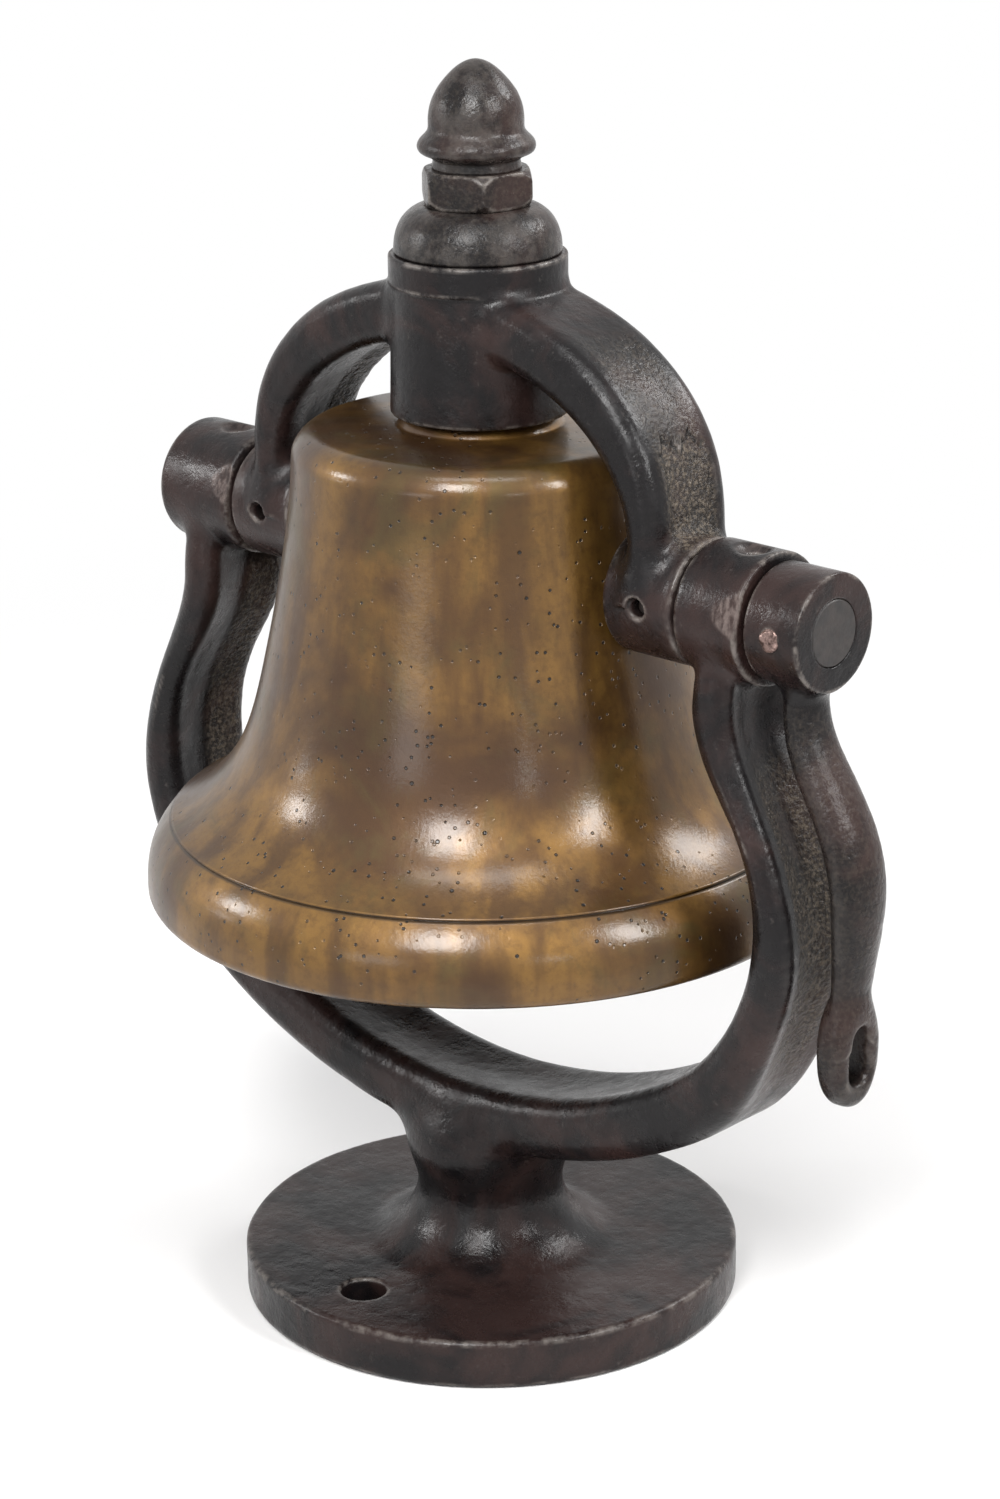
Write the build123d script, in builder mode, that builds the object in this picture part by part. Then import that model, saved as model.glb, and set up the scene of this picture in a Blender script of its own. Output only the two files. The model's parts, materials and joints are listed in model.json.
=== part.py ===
"""Locomotive bell hung in a cast-iron yoke and stand, with a side crank and a clapper.

Millimetres, +Z up. The origin is the centre of the underside of the round foot. The trunnion axis
runs along X at trunnion_height, and the crank is on the +X side.
"""

from build123d import *
import os

os.makedirs("parts", exist_ok=True)

# Foot and neck of the stand
foot_radius = 95.25
foot_thickness = 19.0
foot_edge_round = 2.0
neck_radius = 28.0
neck_narrow_height = 42.0
neck_top_height = 73.0
foot_bolt_hole_radius = 8.5
foot_bolt_hole_offset = 70.0

# Fork of the stand
trunnion_height = 295.0
cradle_inner_radius = 207.5
cradle_outer_radius = 232.5
fork_depth = 46.0
fork_offset_x = -4.5
fork_rim_round = 7.0
bulge_inner_x = 148.0
bulge_outer_x = 166.5
bulge_height = 175.0
fork_top_inner_x = 120.5
fork_top_outer_x = 138.5
fork_top_height = 264.0
channel_depth = 3.0
channel_width = 20.0

# Bearings
bearing_radius = 23.75
bearing_inner_x = 112.3
right_bearing_outer_x = 139.5
left_bearing_outer_x = 150.0
left_bearing_wall = 5.0
bearing_edge_round = 3.0
bush_radius = 15.0
oil_hole_x = 129.0
oil_hole_radius = 3.0
oil_cup_radius = 9.0
oil_cup_depth = 3.5

# Shafts and their clearances
shaft_radius = 12.0
running_clearance = 0.05
fixed_clearance = 0.03

# Yoke
yoke_depth = 44.0
yoke_rim_round = 6.75
yoke_boss_radius = 23.0
yoke_boss_inner_x = 79.0
yoke_boss_outer_x = 110.2
yoke_pin_x = 95.0
yoke_pin_radius = 3.0
yoke_pin_sunk = 4.5
hub_radius = 31.4
hub_foot_radius = 32.4
hub_band_radius = 32.2
hub_bottom = 51.5
hub_band_bottom = 98.0
hub_top = 109.0

# Bell, heights measured from the trunnion axis
mouth_radius = 127.0
mouth_height = -131.3
groove_radius = 117.6
groove_height = -101.0
groove_size = 1.3
shoulder_radius = 68.7
crown_top = 46.0
crown_underside = 36.5
crown_boss_radius = 28.6
crown_boss_top = 50.0

# Stack of pieces on the bolt, heights measured from the trunnion axis
bolt_radius = 11.0
bolt_hole_radius = 11.4
thread_clearance = 0.1
bolt_top = 163.0
washer_radius = 26.0
washer_thickness = 3.5
bolt_collar_radius = 18.0
bolt_collar_thickness = 9.0
dome_radius = 30.2
dome_top_radius = 19.5
dome_top = 126.0
nut_across_flats = 37.0
nut_height = 13.0
acorn_neck_radius = 16.0
acorn_ring_radius = 21.1
acorn_ring_height = 147.0
acorn_tip = 177.3

# Crank
crank_boss_radius = 21.0
crank_boss_inner_x = 141.1
crank_boss_outer_x = 164.1
crank_pin_radius = 3.3
crank_pin_head = 0.6
crank_eye_x = 174.0
crank_eye_height = 144.5
crank_eye_thickness = 11.0
crank_eye_width = 25.0
crank_eye_length = 41.0
crank_slot_width = 9.5
crank_slot_length = 23.0

# Clapper, heights measured from the trunnion axis
clapper_pivot_height = 12.0
clapper_pin_radius = 4.0
clapper_eye_radius = 10.5
clapper_eye_thickness = 11.0
clevis_gap = 12.0
clevis_ear_thickness = 7.0
clevis_ear_radius = 12.0
clapper_rod_radius = 5.0
clapper_ball_radius = 19.0
clapper_ball_height = -113.0
clapper_nut_across_flats = 17.0
clapper_nut_height = 6.0
clapper_thread_radius = 4.5

axis_z = trunnion_height
pivot_z = axis_z + clapper_pivot_height
ball_z = axis_z + clapper_ball_height
seat_z = axis_z + crown_underside - washer_thickness
collar_bottom_z = seat_z - bolt_collar_thickness


def above_axis(points):
    """Move (x, height above the trunnion axis) points to (x, z)."""
    return [(x, axis_z + height) for x, height in points]


def cross_hole(x, radius):
    """Drill the part in hand right through along Y, on the trunnion axis."""
    with Locations((x, 0, axis_z)):
        Cylinder(radius, 4 * bearing_radius, rotation=(90, 0, 0), mode=Mode.SUBTRACT)


# Stand: foot, neck, cradle, two arms and two bearing bosses in one casting
with BuildPart() as stand:
    with BuildSketch(Plane.XZ):
        with BuildLine():
            Polyline(
                (0, neck_top_height),
                (0, 0),
                (foot_radius, 0),
                (foot_radius, foot_thickness),
                (neck_radius + 22, foot_thickness),
            )
            neck_side = Spline(
                (neck_radius + 22, foot_thickness),
                (neck_radius, neck_narrow_height),
                (neck_radius + 3.5, neck_top_height - 14),
                (neck_radius - 5, neck_top_height),
                tangents=((-1, 0), (-1, 0.6)),
            )
            Line(neck_side @ 1, (0, neck_top_height))
        make_face()
    revolve(axis=Axis.Z)
    foot_rim = stand.edges().filter_by(GeomType.CIRCLE).filter_by(lambda edge: edge.radius > foot_radius - 1)
    fillet(foot_rim, foot_edge_round)

# Side outlines of one fork arm, from the cradle's foot to the bearing
arm_outer_points = [
    (126, axis_z - 195.4),
    (157, axis_z - 154),
    (bulge_outer_x, bulge_height),
    (157.5, 216),
    (146, 240),
    (fork_top_outer_x, fork_top_height),
]
arm_inner_points = [
    (112, axis_z - 174.7),
    (139, axis_z - 144),
    (bulge_inner_x, bulge_height + 6),
    (142, 216),
    (127.5, 240),
    (fork_top_inner_x, fork_top_height),
]


def moved_outward(points, distance):
    """Move (x, z) points away from the middle of the trunnion axis by a distance."""
    moved = []
    for x, z in points:
        radius = (x ** 2 + (z - axis_z) ** 2) ** 0.5
        growth = 1 + distance / radius
        moved.append((x * growth, axis_z + (z - axis_z) * growth))
    return moved


def fork_outline(inset):
    """Draw the fork's outline in the XZ plane, with its inner and outer faces moved in."""
    outer_points = moved_outward(arm_outer_points, -inset)
    inner_points = moved_outward(arm_inner_points, inset)
    outer_radius = cradle_outer_radius - inset
    inner_radius = cradle_inner_radius + inset
    with BuildSketch(Plane.XZ) as outline:
        with BuildLine():
            outer_arc = ThreePointArc(
                (0, axis_z - outer_radius),
                (outer_radius * 0.282, axis_z - outer_radius * 0.9594),
                outer_points[0],
            )
            Spline(*outer_points, tangents=(outer_arc % 1, (0, 1)))
            Polyline(outer_points[-1], (outer_points[-1][0], axis_z), (inner_points[-1][0], axis_z), inner_points[-1])
            inner_arc = ThreePointArc(
                (0, axis_z - inner_radius),
                (inner_radius * 0.282, axis_z - inner_radius * 0.9594),
                inner_points[0],
            )
            Spline(*inner_points, tangents=(inner_arc % 1, (0, 1)))
            Line((0, axis_z - inner_radius), (0, axis_z - outer_radius))
        make_face()
        mirror(about=Plane.YZ)
    return outline.sketch


full_outline = fork_outline(0)
web_outline = fork_outline(channel_depth)

with BuildPart() as fork:
    extrude(full_outline, amount=fork_depth / 2, both=True)
    rim_edges = fork.faces().filter_by(Axis.Y).edges().filter_by(lambda edge: edge.length > 20)
    fillet(rim_edges, fork_rim_round)
    with Locations((0, 0, trunnion_height / 2)):
        Box(3 * bulge_outer_x, channel_width, 2 * trunnion_height, mode=Mode.SUBTRACT)
    extrude(web_outline, amount=channel_width / 2, both=True)

with BuildPart() as bearings:
    with BuildSketch(Plane.YZ.offset(bearing_inner_x)):
        with Locations((0, axis_z)):
            Circle(bearing_radius)
    extrude(amount=right_bearing_outer_x - bearing_inner_x)
    with BuildSketch(Plane.YZ.offset(-left_bearing_outer_x)):
        with Locations((0, axis_z)):
            Circle(bearing_radius)
    extrude(amount=left_bearing_outer_x - bearing_inner_x)
    outer_rims = bearings.edges().filter_by(GeomType.CIRCLE).sort_by(Axis.X)
    fillet([outer_rims[0], outer_rims[-1]], bearing_edge_round)

with stand:
    with Locations((fork_offset_x, 0, 0)):
        add(fork.part)
    add(bearings.part)
    with BuildSketch(Plane.YZ.offset(bearing_inner_x)):
        with Locations((0, axis_z)):
            Circle(bush_radius + fixed_clearance)
    extrude(amount=right_bearing_outer_x - bearing_inner_x, mode=Mode.SUBTRACT)
    with BuildSketch(Plane.YZ.offset(-bearing_inner_x)):
        with Locations((0, axis_z)):
            Circle(bush_radius + fixed_clearance)
    extrude(amount=-(left_bearing_outer_x - left_bearing_wall - bearing_inner_x), mode=Mode.SUBTRACT)
    with Locations((0, -foot_bolt_hole_offset, foot_thickness)):
        Hole(foot_bolt_hole_radius, depth=foot_thickness)
    for x in (oil_hole_x, -oil_hole_x):
        with Locations((x, 0, axis_z + bearing_radius + oil_cup_radius - oil_cup_depth)):
            Sphere(oil_cup_radius, mode=Mode.SUBTRACT)
        with Locations((x, 0, axis_z + bearing_radius)):
            Cylinder(oil_hole_radius, 2 * (bearing_radius - bush_radius) + 2, mode=Mode.SUBTRACT)
stand.part.label = "stand"
export_step(stand.part, "parts/stand.step")

# Bearing bushes, each with an oil hole under the stand's own
for side, outer_x in (("left", -(left_bearing_outer_x - left_bearing_wall)), ("right", right_bearing_outer_x)):
    direction = 1 if side == "right" else -1
    start_x = direction * bearing_inner_x
    with BuildPart() as bush:
        with BuildSketch(Plane.YZ.offset(start_x)):
            with Locations((0, axis_z)):
                Circle(bush_radius)
                Circle(shaft_radius + running_clearance, mode=Mode.SUBTRACT)
        extrude(amount=outer_x - start_x)
        with Locations((direction * oil_hole_x, 0, axis_z + bush_radius)):
            Hole(oil_hole_radius, depth=bush_radius - shaft_radius + 1)
    bush.part.label = f"{side}_bearing_bush"
    export_step(bush.part, f"parts/{side}_bearing_bush.step")

# Yoke: hub, two curved arms and two trunnion bosses in one casting
yoke_outer_points = above_axis([(0, 101), (33, 96.5), (59, 87), (83, 69.5), (97.5, 46), (101, 24), (100.5, 0)])
yoke_inner_points = above_axis([(0, 78), (34, 73), (60, 61.5), (75, 48.5), (84, 34), (86.5, 18), (86, 0)])

with BuildPart() as yoke_arms:
    with BuildSketch(Plane.XZ):
        with BuildLine():
            yoke_outer = Spline(*yoke_outer_points, tangents=((1, 0), (0, -1)))
            yoke_inner = Spline(*yoke_inner_points, tangents=((1, 0), (0, -1)))
            Line(yoke_outer @ 1, yoke_inner @ 1)
            Line(yoke_outer @ 0, yoke_inner @ 0)
        make_face()
        mirror(about=Plane.YZ)
    extrude(amount=yoke_depth / 2, both=True)
    yoke_rims = yoke_arms.faces().filter_by(Axis.Y).edges().filter_by(lambda edge: edge.length > 20)
    fillet(yoke_rims.filter_by(lambda edge: edge.center().Z > axis_z + 5), yoke_rim_round)

with BuildPart() as yoke:
    with BuildSketch(Plane.XZ):
        with BuildLine():
            Polyline(
                (0, axis_z + hub_bottom),
                (hub_foot_radius, axis_z + hub_bottom),
                (hub_radius, axis_z + hub_band_bottom - 1),
                (hub_radius - 0.8, axis_z + hub_band_bottom),
                (hub_band_radius, axis_z + hub_band_bottom + 1),
                (hub_band_radius, axis_z + hub_top - 1),
                (hub_band_radius - 1, axis_z + hub_top),
                (0, axis_z + hub_top),
                (0, axis_z + hub_bottom),
            )
        make_face()
    revolve(axis=Axis.Z)
    for direction in (1, -1):
        with BuildSketch(Plane.YZ.offset(direction * yoke_boss_inner_x)):
            with Locations((0, axis_z)):
                Circle(yoke_boss_radius)
        extrude(amount=direction * (yoke_boss_outer_x - yoke_boss_inner_x))
    boss_rims = yoke.edges().filter_by(GeomType.CIRCLE).filter_by(Plane.YZ)
    fillet(boss_rims, 1.5)
    add(yoke_arms.part)
    with BuildSketch(Plane.YZ.offset(-yoke_boss_outer_x)):
        with Locations((0, axis_z)):
            Circle(shaft_radius + fixed_clearance)
    extrude(amount=2 * yoke_boss_outer_x, mode=Mode.SUBTRACT)
    with Locations((0, 0, axis_z + hub_bottom + 40)):
        Cylinder(bolt_hole_radius, 140, mode=Mode.SUBTRACT)
    cross_hole(yoke_pin_x, yoke_pin_radius + fixed_clearance)
    cross_hole(-yoke_pin_x, yoke_pin_radius + fixed_clearance)
yoke.part.label = "yoke"
export_step(yoke.part, "parts/yoke.step")


# Trunnions: a short blind pin on the left, a long shaft on the right that carries the crank
trunnion_start = yoke_boss_inner_x + 1
crank_pin_x = (crank_boss_inner_x + crank_boss_outer_x) / 2

with BuildPart() as left_trunnion_pin:
    with BuildSketch(Plane.YZ.offset(-trunnion_start)):
        with Locations((0, axis_z)):
            Circle(shaft_radius)
    extrude(amount=-(left_bearing_outer_x - left_bearing_wall - 1.5 - trunnion_start))
    chamfer(left_trunnion_pin.edges().filter_by(GeomType.CIRCLE), 1)
    cross_hole(-yoke_pin_x, yoke_pin_radius + fixed_clearance)
left_trunnion_pin.part.label = "left_trunnion_pin"
export_step(left_trunnion_pin.part, "parts/left_trunnion_pin.step")

with BuildPart() as right_trunnion_shaft:
    with BuildSketch(Plane.YZ.offset(trunnion_start)):
        with Locations((0, axis_z)):
            Circle(shaft_radius)
    extrude(amount=crank_boss_outer_x - trunnion_start)
    chamfer(right_trunnion_shaft.edges().filter_by(GeomType.CIRCLE), 0.6)
    cross_hole(yoke_pin_x, yoke_pin_radius + fixed_clearance)
    cross_hole(crank_pin_x, crank_pin_radius + fixed_clearance)
right_trunnion_shaft.part.label = "right_trunnion_shaft"
export_step(right_trunnion_shaft.part, "parts/right_trunnion_shaft.step")

# Cross pins that hold the trunnions in the yoke, sunk below the boss at the front
pin_length = 2 * yoke_boss_radius - yoke_pin_sunk - 1.5
for side, x in (("left", -yoke_pin_x), ("right", yoke_pin_x)):
    with BuildPart() as yoke_pin:
        with BuildSketch(Plane.XZ.offset(yoke_boss_radius - yoke_pin_sunk)):
            with Locations((x, axis_z)):
                Circle(yoke_pin_radius)
        extrude(amount=-pin_length)
        chamfer(yoke_pin.edges().filter_by(GeomType.CIRCLE), 0.5)
    yoke_pin.part.label = f"{side}_yoke_pin"
    export_step(yoke_pin.part, f"parts/{side}_yoke_pin.step")

# Crank: boss on the shaft, bowed arm of oval section, long eye at the lower end
crank_stations = [
    (crank_pin_x, axis_z - 14, 12.0, 19.0),
    (crank_pin_x + 1.5, 258, 14.0, 20.0),
    (162.5, 241, 15.0, 23.0),
    (172.5, 222, 15.5, 25.0),
    (176.5, 203, 15.0, 25.0),
    (176.0, 185, 13.5, 22.0),
    (174.3, 167, 11.0, 18.5),
    (crank_eye_x, 156, 8.5, 14.0),
]

with BuildPart() as crank_arm:
    for x, z, thickness, width in crank_stations:
        with BuildSketch(Plane(origin=(x, 0, z), x_dir=(1, 0, 0), z_dir=(0, 0, 1))):
            Ellipse(thickness / 2, width / 2)
    loft()
    with BuildSketch(Plane.YZ.offset(crank_eye_x - crank_eye_thickness / 2)):
        with Locations((0, crank_eye_height)):
            Ellipse(crank_eye_width / 2, crank_eye_length / 2)
    extrude(amount=crank_eye_thickness)
    eye_rims = crank_arm.faces().filter_by(Axis.X).edges()
    fillet(eye_rims, 4)
    with BuildSketch(Plane.YZ.offset(crank_boss_inner_x)):
        with Locations((0, axis_z)):
            Circle(crank_boss_radius)
    extrude(amount=crank_boss_outer_x - crank_boss_inner_x)
    with BuildSketch(Plane.YZ.offset(crank_eye_x - crank_eye_thickness)):
        with Locations((0, crank_eye_height)):
            SlotOverall(crank_slot_length, crank_slot_width, rotation=90)
    extrude(amount=2 * crank_eye_thickness, mode=Mode.SUBTRACT)
    with BuildSketch(Plane.YZ.offset(crank_boss_inner_x - 1)):
        with Locations((0, axis_z)):
            Circle(shaft_radius + fixed_clearance)
    extrude(amount=crank_boss_outer_x - crank_boss_inner_x + 2, mode=Mode.SUBTRACT)
    cross_hole(crank_pin_x, crank_pin_radius + fixed_clearance)
crank_arm.part.label = "crank_arm"
export_step(crank_arm.part, "parts/crank_arm.step")

with BuildPart() as crank_pin:
    with BuildSketch(Plane.XZ.offset(crank_boss_radius + crank_pin_head)):
        with Locations((crank_pin_x, axis_z)):
            Circle(crank_pin_radius)
    extrude(amount=-2 * (crank_boss_radius + crank_pin_head))
    chamfer(crank_pin.edges().filter_by(GeomType.CIRCLE), 0.5)
crank_pin.part.label = "crank_pin"
export_step(crank_pin.part, "parts/crank_pin.step")

# Bell: a turned bronze casting with a flat crown, a flared waist and a lip band above the mouth
bell_waist = above_axis(
    [
        (shoulder_radius, 36),
        (69.8, 20),
        (72.7, 0),
        (76.2, -20),
        (80.4, -40),
        (85.4, -60),
        (91.2, -75),
        (98.5, -86),
        (107.5, -94.5),
        (groove_radius, groove_height),
    ]
)
bell_lip = above_axis(
    [
        (groove_radius + 0.6, groove_height - groove_size),
        (124.4, -111),
        (126.7, -120),
        (mouth_radius, -127),
    ]
)
bell_inside = above_axis(
    [
        (114.5, mouth_height),
        (111, -122),
        (103.5, -108),
        (93.5, -94),
        (84.3, -79),
        (78, -62),
        (72.5, -40),
        (68, -20),
        (64.5, 0),
        (61.8, 20),
        (60.6, 29),
    ]
)

with BuildPart() as bell:
    with BuildSketch(Plane.XZ):
        with BuildLine():
            crown = Polyline(
                *above_axis(
                    [
                        (bolt_hole_radius, crown_underside),
                        (bolt_hole_radius, crown_boss_top),
                        (crown_boss_radius - 1, crown_boss_top),
                        (crown_boss_radius, crown_boss_top - 1),
                        (crown_boss_radius + 1.5, crown_top + 0.8),
                        (60, crown_top - 0.5),
                    ]
                )
            )
            Spline(crown @ 1, bell_waist[0], tangents=((1, -0.05), (0.05, -1)))
            Spline(*bell_waist, tangents=((0.05, -1), (1, -0.55)))
            Polyline(
                bell_waist[-1],
                (groove_radius - groove_size, axis_z + groove_height - groove_size / 2),
                bell_lip[0],
            )
            Spline(*bell_lip, tangents=((0.7, -0.75), (0, -1)))
            lip = ThreePointArc(
                bell_lip[-1],
                (mouth_radius - 1.2, axis_z + mouth_height + 1.3),
                (mouth_radius - 4.3, axis_z + mouth_height),
            )
            Line(lip @ 1, bell_inside[0])
            Spline(*bell_inside, tangents=((-0.2, 1), (-0.15, 1)))
            Spline(bell_inside[-1], (53, axis_z + crown_underside), tangents=((-0.15, 1), (-1, 0)))
            Line((53, axis_z + crown_underside), crown @ 0)
        make_face()
    revolve(axis=Axis.Z)
bell.part.label = "bell"
export_step(bell.part, "parts/bell.step")

# Gasket between the crown and the yoke, and washer under the crown inside
with BuildPart() as crown_gasket:
    with BuildSketch(Plane.XY.offset(axis_z + crown_boss_top)):
        Circle(crown_boss_radius - 1)
        Circle(bolt_hole_radius, mode=Mode.SUBTRACT)
    extrude(amount=hub_bottom - crown_boss_top)
crown_gasket.part.label = "crown_gasket"
export_step(crown_gasket.part, "parts/crown_gasket.step")

with BuildPart() as inner_crown_washer:
    with BuildSketch(Plane.XY.offset(seat_z)):
        Circle(washer_radius)
        Circle(bolt_hole_radius, mode=Mode.SUBTRACT)
    extrude(amount=washer_thickness)
    chamfer(inner_crown_washer.edges().group_by(Axis.Z)[0].sort_by(SortBy.RADIUS)[-1], 1)
inner_crown_washer.part.label = "inner_crown_washer"
export_step(inner_crown_washer.part, "parts/inner_crown_washer.step")

# Domed washer on top of the hub
with BuildPart() as dome_washer:
    with BuildSketch(Plane.XZ):
        with BuildLine():
            dome_base = Polyline(
                (bolt_hole_radius, axis_z + dome_top),
                (bolt_hole_radius, axis_z + hub_top),
                (dome_radius - 0.6, axis_z + hub_top),
                (dome_radius, axis_z + hub_top + 0.8),
            )
            Spline(
                dome_base @ 1,
                (dome_radius - 3.0, axis_z + dome_top - 5),
                (dome_top_radius, axis_z + dome_top),
                tangents=((0, 1), (-1, 0.12)),
            )
            Line((dome_top_radius, axis_z + dome_top), dome_base @ 0)
        make_face()
    revolve(axis=Axis.Z)
dome_washer.part.label = "dome_washer"
export_step(dome_washer.part, "parts/dome_washer.step")


def hexagon_nut(bottom_z, height, across_flats, hole_radius, turn):
    """Make a hexagon nut whose top and bottom corners are turned off in a cone."""
    corner_radius = across_flats / 3 ** 0.5
    flat_radius = across_flats / 2
    with BuildPart() as nut:
        with BuildSketch(Plane.XY.offset(bottom_z)):
            RegularPolygon(corner_radius, 6, rotation=turn)
        extrude(amount=height)
        with BuildSketch(Plane.XZ):
            with BuildLine():
                Polyline(
                    (0, bottom_z),
                    (flat_radius, bottom_z),
                    (corner_radius + 0.3, bottom_z + 2),
                    (corner_radius + 0.3, bottom_z + height - 2),
                    (flat_radius, bottom_z + height),
                    (0, bottom_z + height),
                    (0, bottom_z),
                )
            make_face()
        revolve(axis=Axis.Z, mode=Mode.INTERSECT)
        with BuildSketch(Plane.XY.offset(bottom_z)):
            Circle(hole_radius)
        extrude(amount=height, mode=Mode.SUBTRACT)
    return nut


nut_bottom_z = axis_z + dome_top
nut_top_z = nut_bottom_z + nut_height
hex_nut = hexagon_nut(nut_bottom_z, nut_height, nut_across_flats, bolt_radius + thread_clearance, 20)
hex_nut.part.label = "hex_nut"
export_step(hex_nut.part, "parts/hex_nut.step")

# Acorn finial screwed on the bolt above the nut
acorn_ring_z = axis_z + acorn_ring_height
with BuildPart() as acorn_nut:
    with BuildSketch(Plane.XZ):
        with BuildLine():
            Polyline((0, acorn_ring_z), (0, nut_top_z), (acorn_neck_radius, nut_top_z))
            neck_line = Line((acorn_neck_radius, nut_top_z), (acorn_neck_radius - 0.5, nut_top_z + 3))
            Spline(
                neck_line @ 1,
                (acorn_ring_radius - 0.8, acorn_ring_z - 2),
                (acorn_ring_radius, acorn_ring_z),
                (acorn_ring_radius - 1, acorn_ring_z + 2.4),
                (17.4, acorn_ring_z + 5.5),
                (17.1, acorn_ring_z + 8.5),
            )
            Spline(
                (17.1, acorn_ring_z + 8.5),
                (15.6, axis_z + 163.5),
                (11, axis_z + 170.6),
                (0, axis_z + acorn_tip),
                tangents=((0.0, 1), (-1, 0.02)),
            )
            Line((0, axis_z + acorn_tip), (0, acorn_ring_z))
        make_face()
    revolve(axis=Axis.Z)
    with BuildSketch(Plane.XY.offset(nut_top_z)):
        Circle(bolt_radius + thread_clearance)
    extrude(amount=axis_z + bolt_top + 2 - nut_top_z, mode=Mode.SUBTRACT)
acorn_nut.part.label = "acorn_nut"
export_step(acorn_nut.part, "parts/acorn_nut.step")

# Bolt: collar and clevis inside the bell, threaded shank up through the hub into the acorn
with BuildPart() as bell_bolt:
    with BuildSketch(Plane.XY.offset(collar_bottom_z)):
        Circle(bolt_collar_radius)
    extrude(amount=bolt_collar_thickness)
    chamfer(bell_bolt.edges().group_by(Axis.Z)[0], 1.5)
    with BuildSketch(Plane.XY.offset(seat_z)):
        Circle(bolt_radius)
    extrude(amount=axis_z + bolt_top - seat_z)
    chamfer(bell_bolt.edges().group_by(Axis.Z)[-1], 1.2)
    for direction in (1, -1):
        with BuildSketch(Plane.YZ.offset(direction * clevis_gap / 2)):
            with Locations((0, pivot_z)):
                Circle(clevis_ear_radius)
            with Locations((0, (pivot_z + collar_bottom_z + 2) / 2)):
                Rectangle(2 * clevis_ear_radius, collar_bottom_z + 2 - pivot_z)
            with Locations((0, pivot_z)):
                Circle(clapper_pin_radius + fixed_clearance, mode=Mode.SUBTRACT)
        extrude(amount=direction * clevis_ear_thickness)
bell_bolt.part.label = "bell_bolt"
export_step(bell_bolt.part, "parts/bell_bolt.step")

# Clapper pivot pin with a head at one end and a split pin at the other
ear_outer_x = clevis_gap / 2 + clevis_ear_thickness
split_pin_x = ear_outer_x + 2.4
with BuildPart() as clapper_pivot_pin:
    with BuildSketch(Plane.YZ.offset(-ear_outer_x)):
        with Locations((0, pivot_z)):
            Circle(clapper_pin_radius)
    extrude(amount=split_pin_x + 3 + ear_outer_x)
    with BuildSketch(Plane.YZ.offset(-ear_outer_x)):
        with Locations((0, pivot_z)):
            Circle(clapper_pin_radius + 2.5)
    extrude(amount=-2.5)
    with BuildSketch(Plane.XY.offset(pivot_z - 10)):
        with Locations((split_pin_x, 0)):
            Circle(1.05)
    extrude(amount=20, mode=Mode.SUBTRACT)
clapper_pivot_pin.part.label = "clapper_pivot_pin"
export_step(clapper_pivot_pin.part, "parts/clapper_pivot_pin.step")

with BuildPart() as clapper_split_pin:
    with BuildSketch(Plane.XY.offset(pivot_z - 7)):
        with Locations((split_pin_x, 0)):
            Circle(1.0)
    extrude(amount=13)
    with BuildSketch(Plane.XZ):
        with Locations((split_pin_x, pivot_z + 7.5)):
            Circle(2.4)
            Circle(1.2, mode=Mode.SUBTRACT)
    extrude(amount=0.9, both=True)
clapper_split_pin.part.label = "clapper_split_pin"
export_step(clapper_split_pin.part, "parts/clapper_split_pin.step")

# Clapper: rod with a flat eye, iron ball and a nut under the ball
nut_seat_z = ball_z - clapper_ball_radius + 1.5
with BuildPart() as clapper_rod:
    with BuildSketch(Plane.YZ):
        with Locations((0, pivot_z)):
            Circle(clapper_eye_radius)
    extrude(amount=clapper_eye_thickness / 2, both=True)
    with BuildSketch(Plane.XY.offset(ball_z)):
        Circle(clapper_rod_radius)
    extrude(amount=pivot_z - clapper_pin_radius - 2 - ball_z)
    with BuildSketch(Plane.XY.offset(nut_seat_z - clapper_nut_height - 2)):
        Circle(clapper_thread_radius)
    extrude(amount=ball_z - nut_seat_z + clapper_nut_height + 2)
    with BuildSketch(Plane.YZ.offset(-clapper_eye_thickness)):
        with Locations((0, pivot_z)):
            Circle(clapper_pin_radius + running_clearance)
    extrude(amount=2 * clapper_eye_thickness, mode=Mode.SUBTRACT)
clapper_rod.part.label = "clapper_rod"
export_step(clapper_rod.part, "parts/clapper_rod.step")

with BuildPart() as clapper_ball:
    with Locations((0, 0, ball_z)):
        Sphere(clapper_ball_radius)
    with BuildSketch(Plane.XY.offset(ball_z)):
        Circle(clapper_rod_radius + fixed_clearance)
    extrude(amount=clapper_ball_radius + 1, mode=Mode.SUBTRACT)
    with BuildSketch(Plane.XY.offset(ball_z)):
        Circle(clapper_thread_radius + fixed_clearance)
    extrude(amount=-clapper_ball_radius - 1, mode=Mode.SUBTRACT)
    split(bisect_by=Plane.XY.offset(nut_seat_z), keep=Keep.TOP)
clapper_ball.part.label = "clapper_ball"
export_step(clapper_ball.part, "parts/clapper_ball.step")

clapper_nut = hexagon_nut(
    nut_seat_z - clapper_nut_height,
    clapper_nut_height,
    clapper_nut_across_flats,
    clapper_thread_radius + fixed_clearance,
    0,
)
clapper_nut.part.label = "clapper_ball_nut"
export_step(clapper_nut.part, "parts/clapper_ball_nut.step")
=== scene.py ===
"""A locomotive bell with its yoke, stand, crank and clapper, dressed for a studio picture.

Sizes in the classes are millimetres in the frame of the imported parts: the origin is the centre of the
foot's underside, +Z is up and the trunnion axis runs along X. Meshes are written in metres.
"""

import json
import logging
import math
from dataclasses import dataclass
from enum import Enum
from typing import Callable, Sequence

import bpy
import numpy as np
from mathutils import Matrix, Vector

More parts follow.
